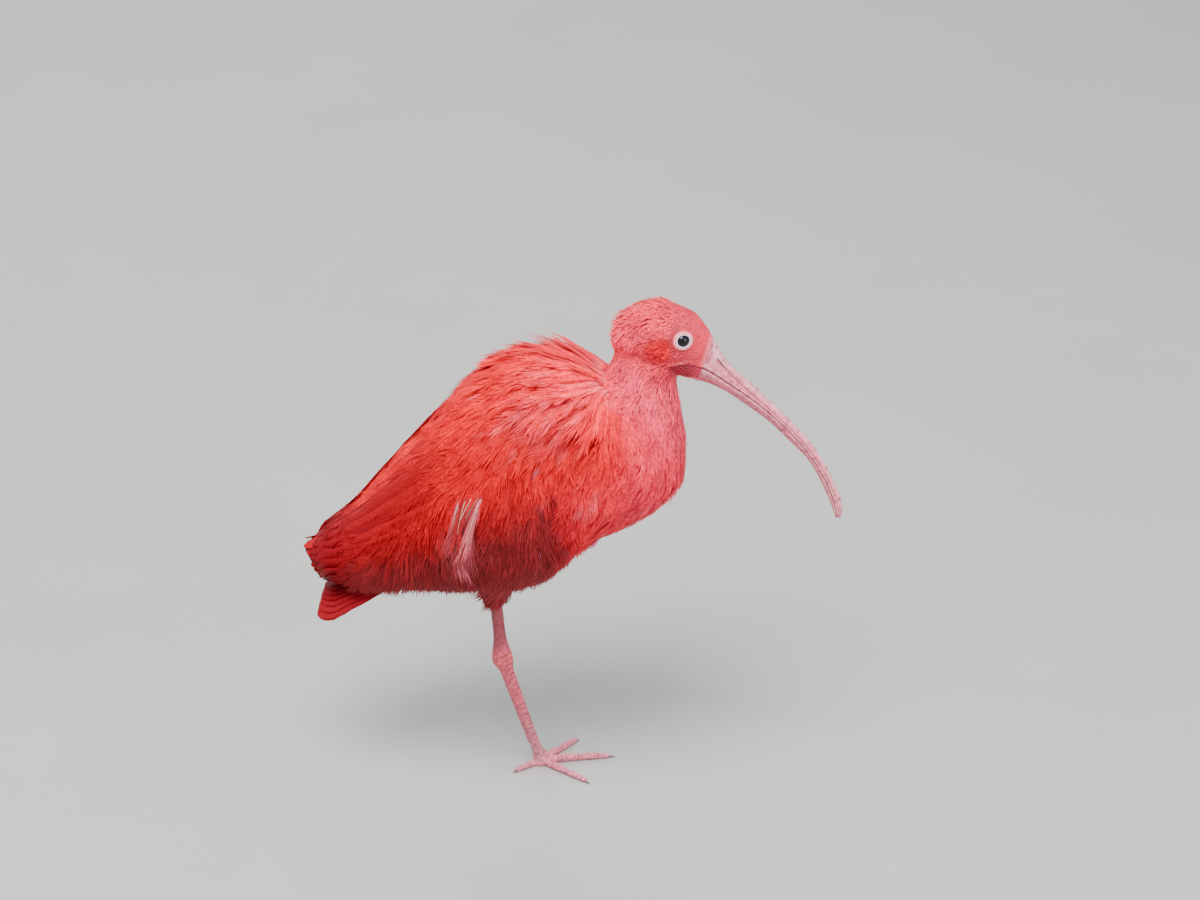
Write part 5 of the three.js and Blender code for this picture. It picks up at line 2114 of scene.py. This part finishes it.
@dataclass
class Bill:
    """The long bill, curved down, in its upper and lower halves."""

    culmen: tuple = (
        (119, 344), (127, 328), (139.4, 313), (153.4, 299.9), (167.6, 285),
        (181.8, 269.7), (196.1, 250.1), (207.1, 228.1), (212.9, 208.4), (212.2, 201),
    )
    mouth: tuple = (
        (104.5, 326), (118.4, 318.5), (133, 307.6), (148.6, 295.6), (163.3, 282),
        (177.9, 266), (192.3, 246.2), (202.9, 225.4), (208.5, 207.9), (210.2, 200.8),
    )
    lower: tuple = (
        (98, 309.5), (112, 308.5), (127, 302), (142.8, 290.5), (158.6, 278),
        (174, 262.2), (189.5, 244.3), (199.7, 223.6), (205.9, 207.8), (208, 201),
    )
    base_top: tuple = (116.0, 0, 338.5)
    base_low: tuple = (106.5, 0, 304.0)
    steps: int = 200
    half_points: int = 34
    base_half: float = 9.6
    tip_half: float = 3.1
    nostril: tuple[float, float] = (0.115, 0.70)

    def half_width(self, t: np.ndarray) -> np.ndarray:
        """Return the bill's half width at shares along it."""
        return self.base_half + (self.tip_half - self.base_half) * (1 - (1 - t) ** 2.1)

    def groove(self, t: np.ndarray) -> np.ndarray:
        """Return how far up the side the long groove runs, from the nostril to the tip."""
        return np.interp(t, (0.0, 0.10, 0.20, 0.32, 0.45, 1.0), (0.74, 0.74, 0.62, 0.42, 0.34, 0.36))

    def shape(self, name: str, t: np.ndarray, up: np.ndarray) -> tuple[np.ndarray, np.ndarray]:
        """Return the width share and the darkness at places on one side of a half: painted shade in the
        groove, the nostril and along the mouth line, and on the upper half the horn's own dark spots.

        Args:
            name: The half, upper or lower.
            t: Shares along the bill.
            up: Shares from the mouth line to the far edge.

        Returns:
            Width shares and darkness, in the shape of t and up.
        """
        power = 3.0 if name == "upper" else 2.4
        wide = np.sqrt(np.clip(1 - up**power, 0, 1)) * (1 - 0.10 * smooth(up, 0.3, 0.8))
        lip, ridge = bell(up, 0, 0.035), 0.05 * bell(up, 0.13, 0.07)
        if name == "upper":
            groove = bell(up, self.groove(t), 0.045) * smooth(t, 0.10, 0.16)
            beyond = t - self.nostril[0]
            reach = np.hypot(beyond / 0.030, (up - self.nostril[1] + beyond * 1.2) / 0.05)
            nostril = smooth(reach, 1.25, 0.7)
            wide = wide * (1 - 0.10 * groove - 0.22 * nostril - 0.09 * lip + ridge)
            spots = smooth(np.sin(t * 310) * np.sin(t * 173 + 1.3), 0.25, 0.8) * bell(up, 0.80, 0.05)
            spots *= smooth(t, 0.12, 0.16) * smooth(t, 0.42, 0.3)
            # Painted shade in the groove, the nostril and the mouth line, with the horn's real dark spots
            dark = np.maximum.reduce([0.85 * groove, nostril, 0.85 * lip, 0.8 * spots])
        else:
            groove = bell(up, 0.42, 0.05) * smooth(t, 0.9, 0.6)
            wide = wide * (1 - 0.05 * groove - 0.07 * lip + ridge)
            # Painted shade in the lower groove and along the mouth line
            dark = np.maximum(0.35 * groove, 0.75 * lip)
        return wide, dark

    def tones(self, name: str, t: np.ndarray, up: np.ndarray, dark: np.ndarray) -> np.ndarray:
        """Return the horn's colours.

        Args:
            name: The half, upper or lower.
            t: Shares along the bill.
            up: Shares from the mouth line to the far edge.
            dark: How dark each place is, from painted shade and the horn's dark spots.

        Returns:
            Linear colours, one row each.
        """
        layers = [(smooth(t, 0.24, 0.06), Tone.HORN_BASE), (smooth(t, 0.6, 0.95), Tone.HORN_TIP)]
        if name == "upper":
            # Painted highlight: paler along the culmen's top and on the ridge beside the mouth line
            layers.append((smooth(up, 0.62, 0.85) * 0.6, Tone.HORN_HIGHLIGHT))
            layers.append((bell(up, 0.13, 0.08) * 0.5, Tone.HORN_HIGHLIGHT))
        else:
            layers.append((smooth(t, 0.3, 0.06) * smooth(up, 0.3, 0.8) * 0.8, Tone.HORN_FLUSH))
            # Painted highlight on the ridge beside the mouth line
            layers.append((bell(up, 0.15, 0.10) * 0.45, Tone.HORN_HIGHLIGHT))
        # Painted shade and dark spots laid over the horn
        return blend(Tone.HORN, *layers, (np.clip(dark, 0, 1) * 0.9, Tone.HORN_SHADE_AND_SPOTS))

    def half(self, name: str, far_line: tuple, gap: float, squeeze: float) -> tuple:
        """Return the mesh of one half.

        Args:
            name: The half, upper or lower.
            far_line: The culmen or the lower edge.
            gap: Room at the mouth line.
            squeeze: Its width against the upper half's.

        Returns:
            Points, faces and tones.
        """
        mouth, far = (spline(np.array(line, float), self.steps) for line in (self.mouth, far_line))
        t = np.linspace(0, 1, self.steps)
        sides = np.linspace(0.15, 0.94, self.half_points - 13)
        up = np.concatenate([np.linspace(0, 0.12, 8), sides, [0.965, 0.983, 0.994, 1.0]])
        grid_t, grid_up = np.meshgrid(t, up, indexing="ij")
        wide, dark = self.shape(name, grid_t, grid_up)
        close = np.clip((1 - t) / 0.018, 0.04, 1) ** 0.5
        rings, tones = [], []
        for i in range(self.steps):
            start = np.array([mouth[i, 0], 0, mouth[i, 1]])
            rise = np.array([far[i, 0], 0, far[i, 1]]) - start
            size = np.linalg.norm(rise)
            start = start + rise / size * gap
            rise = rise / size * max(size - gap, 1.0)
            y = wide[i] * self.half_width(t[i]) * squeeze * close[i]
            left = start + np.outer(up, rise) + np.outer(y, (0, 1, 0))
            rings.append(np.concatenate([left, left[::-1][1:] * (1, -1, 1)]))
            one = self.tones(name, grid_t[i], grid_up[i], dark[i])
            tones.append(np.concatenate([one, one[::-1][1:]]))
        points, faces = loft(rings)
        return points, faces, np.concatenate(tones)

    def finish(self, name: str) -> bpy.types.Material:
        """Return the horn's material, mottled and finely pitted.

        Args:
            name: The material's name.

        Returns:
            The material.
        """
        sketch = NodeSketch(name)
        mottle = sketch.ramp(sketch.noise(300.0, 5.0), (0.44, 0.0), (0.66, 0.8))
        sketch.paint(sketch.mix(mottle, sketch.attribute("tone").outputs["Color"], Tone.HORN_MOTTLE))
        sketch.set(Roughness=0.36, Specular_IOR_Level=0.42, Subsurface_Weight=0.05, Subsurface_Scale=0.002)
        sketch.bump(sketch.noise(1100.0, 4.0), 0.5, 0.0004)
        return sketch.material

    def build(self, shop: Workshop) -> None:
        """Build both halves, cut off where the face begins.

        Args:
            shop: The workshop.
        """
        halves = (("upper", self.culmen, 0.0, 1.0), ("lower", self.lower, 0.35, 0.965))
        for name, far_line, gap, squeeze in halves:
            points, faces, tones = self.half(name, far_line, gap, squeeze)
            piece = shop.mesh(f"bill_{name}_horn", points, faces)
            write_layer(piece.data, "tone", opaque(tones))
            self.trim(piece, shop)
            piece.data.materials.append(self.finish(f"ibis_bill_{name}"))
            shop.fasten(piece, "bill", f"bill_{name}")

    def trim(self, piece: bpy.types.Object, shop: Workshop) -> None:
        """Cut away what lies behind the plane between face and bill.

        Args:
            piece: A half of the bill.
            shop: The workshop.
        """
        top, low = np.array(self.base_top), np.array(self.base_low)
        normal = np.array([top[2] - low[2], 0, low[0] - top[0]])
        mesh = bmesh.new()
        mesh.from_mesh(piece.data)
        whole = mesh.verts[:] + mesh.edges[:] + mesh.faces[:]
        cut = bmesh.ops.bisect_plane(
            mesh, geom=whole, plane_co=shop.place(top), plane_no=normal, clear_inner=True
        )
        rim = [e for e in cut["geom_cut"] if isinstance(e, bmesh.types.BMEdge)]
        bmesh.ops.contextual_create(mesh, geom=rim)
        bmesh.ops.recalc_face_normals(mesh, faces=mesh.faces[:])
        mesh.to_mesh(piece.data)
        mesh.free()


# Legs and feet


@dataclass(frozen=True)
class ScaleFinish:
    """The finish of the bare legs: pink scaly skin, greyer down the tarsus, darker above the hock as
    painted shade under the body.
    """

    name: str

    def make(self) -> bpy.types.Material:
        """Return the material.

        Returns:
            The material.
        """
        sketch = NodeSketch(self.name)
        tone = sketch.attribute("tone").outputs["Color"]
        grain = sketch.noise(430.0, 4.0)
        colour = sketch.mix(1.0, tone, sketch.ramp(grain, (0.34, 0.6), (0.64, 1.16)), "MULTIPLY")
        sketch.paint(sketch.mix(sketch.attribute("draw").outputs["Fac"], colour, Tone.SEAM))
        sketch.set(Roughness=0.5, Specular_IOR_Level=0.4, Subsurface_Weight=0.05, Subsurface_Scale=0.0015)
        cells = sketch.node("ShaderNodeTexVoronoi", Scale=620.0, feature="DISTANCE_TO_EDGE")
        place = sketch.node("ShaderNodeTexCoord")
        sketch.link(place.outputs["Object"], cells.inputs["Vector"])
        edges = sketch.ramp(cells.outputs["Distance"], (0.0, 0.0), (0.12, 1.0))
        both = sketch.math("MULTIPLY_ADD", edges, 0.7)
        sketch.link(grain, both.node.inputs[2])
        sketch.bump(both, 0.5, 0.0003)
        return sketch.material


@dataclass
class Limb:
    """One bare leg with its foot, scaled and clawed."""

    name: str
    leg_top: tuple
    hock: tuple
    ankle: tuple
    toes: tuple
    standing: bool
    nodes: tuple[str, ...]
    voxel: float = 0.55
    relaxing: int = 3
    toe_stations: tuple = (0, 0.85, 0.9, 1)
    toe_widths: tuple = (1, 0.68, 0.6, 0.3)
    toe_depths: tuple = (1, 0.62, 0.5, 0.25)
    pads: int = 3

    def leg_tubes(self) -> list[tuple]:
        """Return the shank and the tarsus as tubes.

        Returns:
            Points and faces of each.
        """
        top, hock, ankle = (np.array(p, float) for p in (self.leg_top, self.hock, self.ankle))
        share = np.linspace(0, 1, 60)
        shank = top + share[:, None] * (hock - top)
        knob = bell(share, 1, 0.22)
        tarsus = hock + share[:, None] * (ankle - hock)
        swell, foot = bell(share, 0, 0.09), bell(share, 1, 0.07)
        wide = 3.6 - 0.8 * share + 2.2 * swell + foot
        deep = 4.6 - 1.4 * share + 2.9 * swell + foot
        back = tarsus[:52] + np.array([-3.4, 0, -0.8]) * (1 - 0.25 * share[:52, None])
        return [
            tube(shank, 4.1 + 1.7 * knob, 4.3 + 2.9 * knob, 40),
            tube(tarsus, wide, deep, 40),
            tube(back, np.full(52, 1.7), np.full(52, 1.6), 20),
        ]

    def build(self, shop: Workshop) -> None:
        """Build the leg's skin and its claws.

        Args:
            shop: The workshop.
        """
        parts = self.leg_tubes()
        claws = []
        share = np.linspace(0, 1, 40)
        bead = 1 + 0.10 * np.cos(share * 2 * math.pi * self.pads)
        width_axis = (0, 1, 0.001) if self.standing else (0, 0, 1)
        for path, half, height in self.toes:
            wide = np.interp(share, self.toe_stations, np.multiply(half, self.toe_widths)) * bead
            deep = np.interp(share, self.toe_stations, np.multiply(height, self.toe_depths)) * bead
            body = spline(np.array(path, float), len(share))
            if self.standing:
                body[:, 2] = deep
            parts.append(tube(body[:36], wide[:36], deep[:36], 24, width_axis))
            claws.append((body[33:], wide[33:] * 0.75, deep[33:] * 0.8))
        if self.standing:
            turn = np.linspace(0, 1, 14)
            palm = np.stack([np.zeros(14), np.zeros(14), 0.4 + turn * 9.5], 1)
            reach = 5.9 - 1.9 * turn**2
            parts.append(tube(palm, reach, reach, 32))
        points, faces = merge(parts)
        if self.standing:
            points[:, 2] = np.maximum(points[:, 2], 0.05)
        piece = shop.fuse(f"{self.name}_skin", points, faces, self.voxel, self.relaxing)
        self.scale(piece, shop)
        piece.data.materials.append(ScaleFinish(f"ibis_{self.name}").make())
        shop.fasten(piece, "leg_skin", *self.nodes)
        self.claws(shop, claws)

    def scale(self, piece: bpy.types.Object, shop: Workshop) -> None:
        """Raise the plates of the tarsus and the toes and colour them.

        Args:
            piece: The leg's skin.
            shop: The workshop.
        """
        data = piece.data
        points = shop.points_of(data)
        normals = np.empty(len(data.vertices) * 3)
        data.vertices.foreach_get("normal", normals)
        normals = normals.reshape(-1, 3)
        hock, ankle = np.array(self.hock, float), np.array(self.ankle, float)
        axis = unit(ankle - hock)
        run = (points - hock) @ axis
        length = np.linalg.norm(ankle - hock)
        beside = points - hock - run[:, None] * axis
        on_tarsus = smooth(run, -9, -4) * smooth(run, length + 4, length - 2)
        on_tarsus *= np.linalg.norm(beside, axis=1) < 9
        front = smooth(beside[:, 0], -0.5, 1.5)
        phase = run / 4.6 + 0.12 * np.sin(run * 0.7)
        ring = np.abs(phase - np.round(phase)) * 2
        lift = smooth(ring, 0.0, 0.3) * on_tarsus * front * 0.24
        seam = (1 - smooth(ring, 0.0, 0.22)) * on_tarsus * front
        upper = smooth(normals[:, 2], 0.0, 0.5) if self.standing else 1.0
        axes = 2 if self.standing else 3
        for path, _, _ in self.toes:
            line = spline(np.array(path, float), 60)
            reach = ((points[:, None, :axes] - line[None, :, :axes]) ** 2).sum(2)
            near = reach.argmin(1)
            close = (np.sqrt(reach.min(1)) < 4.2) & (near > 4) & (on_tarsus < 0.2)
            spot = near / 59 * np.linalg.norm(np.diff(line, axis=0), axis=1).sum() / 3.0
            toe_ring = np.abs(spot - np.round(spot)) * 2
            lift += close * upper * smooth(toe_ring, 0, 0.35) * 0.22
            seam += close * upper * (1 - smooth(toe_ring, 0, 0.3)) * 0.7
        moved = points + normals * lift[:, None]
        if self.standing:
            moved[:, 2] = np.maximum(moved[:, 2], 0.02)
        shop.reshape(data, moved)
        write_layer(data, "tone", opaque(blend(
            Tone.LEG,
            # Painted shade: darker above the hock, under the body
            (smooth(-run, 4, 22), Tone.SHANK_SHADE),
            (smooth(np.abs(run), 10, 3), Tone.HOCK),
            (smooth(run, 30, length), Tone.TARSUS),
            (smooth(run, length - 2, length + 4), Tone.FOOT),
        )))
        write_layer(data, "draw", np.clip(seam, 0, 1))

    def claws(self, shop: Workshop, claws: list[tuple]) -> None:
        """Build the claws of this foot as one piece.

        Args:
            shop: The workshop.
            claws: Path, half widths and half depths of each.
        """
        parts = []
        for path, wide, deep in claws:
            share = np.linspace(0, 1, len(path))
            path = path.copy()
            if self.standing:
                path[:, 2] = np.maximum(deep * (1 - share) + 0.3, 0.3)
            taper = np.sqrt(np.clip(1 - share * 0.94, 0, 1))
            half_wide, half_deep = (np.maximum(size * taper, 0.15) for size in (wide, deep))
            points, faces = tube(path, half_wide, half_deep, 16)
            if self.standing:
                points[:, 2] = np.maximum(points[:, 2], 0.02)
            parts.append((points, faces))
        piece = shop.mesh(f"{self.name}_claws", *merge(parts))
        sketch = NodeSketch(f"ibis_{self.name}_claw")
        along = sketch.ramp(sketch.noise(900.0, 3.0), (0.35, 0.0), (0.7, 1.0))
        sketch.paint(sketch.mix(along, Tone.CLAW_ROOT, Tone.CLAW))
        sketch.set(Roughness=0.35)
        piece.data.materials.append(sketch.material)
        shop.fasten(piece, "bill")


# Toes of the standing foot: degrees towards the bird's left, length and half width
STANDING_TOES = ((8.6, 55, 3.1), (-40, 47, 2.8), (50, 43, 2.8), (216, 25, 2.5))
# Front toes of the drawn-up foot: step to the side and length against the full one
TUCKED_TOES = ((-5.5, 0.9), (0, 1), (5.5, 0.92))
TUCKED_ANKLE = (30, 33, 177)
# Paths from the drawn-up ankle, as steps forwards and upwards
TUCKED_FRONT = ((2, 0.3), (11, -3), (8, -11.5), (-6, -15.5), (-20, -20.5), (-29, -24.5))
TUCKED_HIND = ((4, 3), (12, 4.5), (17.5, 0), (19.5, -7))


def standing_toe(heading: float, length: float, half: float) -> tuple:
    """Return one toe that lies on the floor.

    Args:
        heading: Degrees from straight ahead, towards the bird's left.
        length: The toe's length with its claw.
        half: Its half width at the root.

    Returns:
        Path, half width and half height.
    """
    way = np.array([math.cos(math.radians(heading)), math.sin(math.radians(heading)), 0])
    return (tuple(way * length * s for s in (0, 0.33, 0.66, 1)), half, half * 1.02)


def tucked_toe(side_step: float, length: float) -> tuple:
    """Return one front toe of the drawn-up foot, folded back below the tarsus.

    Args:
        side_step: How far it lies to the bird's left of the middle toe.
        length: Its length against the middle toe's.

    Returns:
        Path, half width and half height.
    """
    x, y, z = TUCKED_ANKLE
    path = tuple(
        (x + ahead * length, y + side_step * (1 + abs(up) / 60), z + up * length)
        for ahead, up in TUCKED_FRONT
    )
    return (path, 3.1, 3.1)


def standing_leg() -> Limb:
    """Return the leg that carries the bird.

    Returns:
        The leg.
    """
    toes = tuple(standing_toe(*toe) for toe in STANDING_TOES)
    nodes = ("leg_right_shank", "leg_right_tarsus", "foot_right")
    return Limb("leg_right", (-31.4, -18.6, 152), (-27, -9.5, 93), (-1.5, 0, 8), toes, True, nodes)


def tucked_leg() -> Limb:
    """Return the leg that is drawn up, with its toes folded.

    Returns:
        The leg.
    """
    x, y, z = TUCKED_ANKLE
    hind = (tuple((x + ahead, y + 0.5, z + up) for ahead, up in TUCKED_HIND), 2.4, 2.4)
    toes = tuple(tucked_toe(*toe) for toe in TUCKED_TOES) + (hind,)
    nodes = ("leg_left_tarsus", "foot_left")
    return Limb("leg_left", (-37.1, 32.3, 158.7), (-47, 33, 151), TUCKED_ANKLE, toes, False, nodes)


# Floor, light and camera


@dataclass
class Studio:
    """A plain pale floor, soft light and the photograph's view."""

    elevation: float = 27.0
    distance: float = 3000.0
    scale: float = 0.697
    target: tuple[float, float, float] = (42.68, 0.0, 254.05)
    frame_width: int = 1200
    floor_reach: float = 6.0
    floor_corners: tuple = ((-1, -1), (1, -1), (1, 1), (-1, 1))
    floor_tones: tuple = ((0.36, 0.355, 0.345), (0.40, 0.395, 0.385))

    def camera(self, shop: Workshop) -> None:
        """Make the camera and set it as the scene's.

        Args:
            shop: The workshop.
        """
        data = bpy.data.cameras.new("view")
        data.sensor_width = 36.0
        data.lens = data.sensor_width * (self.distance / self.scale) / self.frame_width
        data.clip_end = 50.0
        seat = show("view", data)
        tilt = math.radians(self.elevation)
        away = np.array([0, -math.cos(tilt), math.sin(tilt)]) * self.distance
        seat.location = shop.place(np.array(self.target) + away)
        seat.rotation_euler = (math.pi / 2 - tilt, 0, 0)
        bpy.context.scene.camera = seat

    def floor(self) -> None:
        """Make the pale floor as a stage."""
        data = bpy.data.meshes.new("floor")
        corners = [(x * self.floor_reach, y * self.floor_reach, 0) for x, y in self.floor_corners]
        data.from_pydata(corners, [], [[0, 1, 2, 3]])
        plane = show("floor", data)
        sketch = NodeSketch("floor")
        sketch.paint(sketch.mix(sketch.noise(6.0, 3.0), *self.floor_tones))
        sketch.set(Roughness=0.85)
        data.materials.append(sketch.material)

    def light(self, name: str, place: tuple, aim: tuple, size: float, power: float,
              colour: tuple) -> None:
        """Make one soft area light.

        Args:
            name: The light's name.
            place: Where it stands, in metres.
            aim: Where it points, in metres.
            size: Its side.
            power: Its power in watts.
            colour: Its colour.
        """
        data = bpy.data.lights.new(name, "AREA")
        data.size = size
        data.energy = power
        data.color = colour
        lamp = show(name, data)
        lamp.location = place
        lamp.rotation_euler = (Vector(place) - Vector(aim)).to_track_quat("Z", "Y").to_euler()

    def lights(self) -> None:
        """Make the soft studio light."""
        world = bpy.data.worlds.new("studio")
        world.use_nodes = True
        world.node_tree.nodes["Background"].inputs[0].default_value = (0.86, 0.92, 1.0, 1)
        world.node_tree.nodes["Background"].inputs[1].default_value = 0.85
        bpy.context.scene.world = world
        self.light("key", (-0.4, -0.9, 2.3), (0, 0, 0.2), 1.2, 112.0, (1.0, 0.98, 0.95))
        self.light("fill", (1.9, -1.5, 1.2), (0, 0, 0.25), 1.4, 48.0, (0.96, 0.97, 1.0))
        self.light("back", (-0.6, 1.8, 1.7), (0, 0, 0.25), 1.4, 34.0, (1.0, 0.98, 0.96))

    def build(self, shop: Workshop) -> None:
        """Build the camera, the floor and the lights.

        Args:
            shop: The workshop.
        """
        self.camera(shop)
        self.floor()
        self.lights()


def main() -> None:
    """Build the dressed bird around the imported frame."""
    logging.basicConfig(level=logging.INFO, format="%(name)s: %(message)s")
    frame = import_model()
    shop = Workshop(frame)
    Studio().build(shop)
    LOG.info("camera, floor and lights")
    skin = Skin().build(shop)
    LOG.info("skin: %d faces", len(skin.data.polygons))
    Coat().build(shop, skin)
    for side in SIDES:
        Wing(side).build(shop)
        Eye(side).build(shop)
    Tail().build(shop)
    LOG.info("wings, tail and eyes")
    Bill().build(shop)
    standing_leg().build(shop)
    tucked_leg().build(shop)
    LOG.info("bill and legs")


if __name__ == "__main__":
    main()
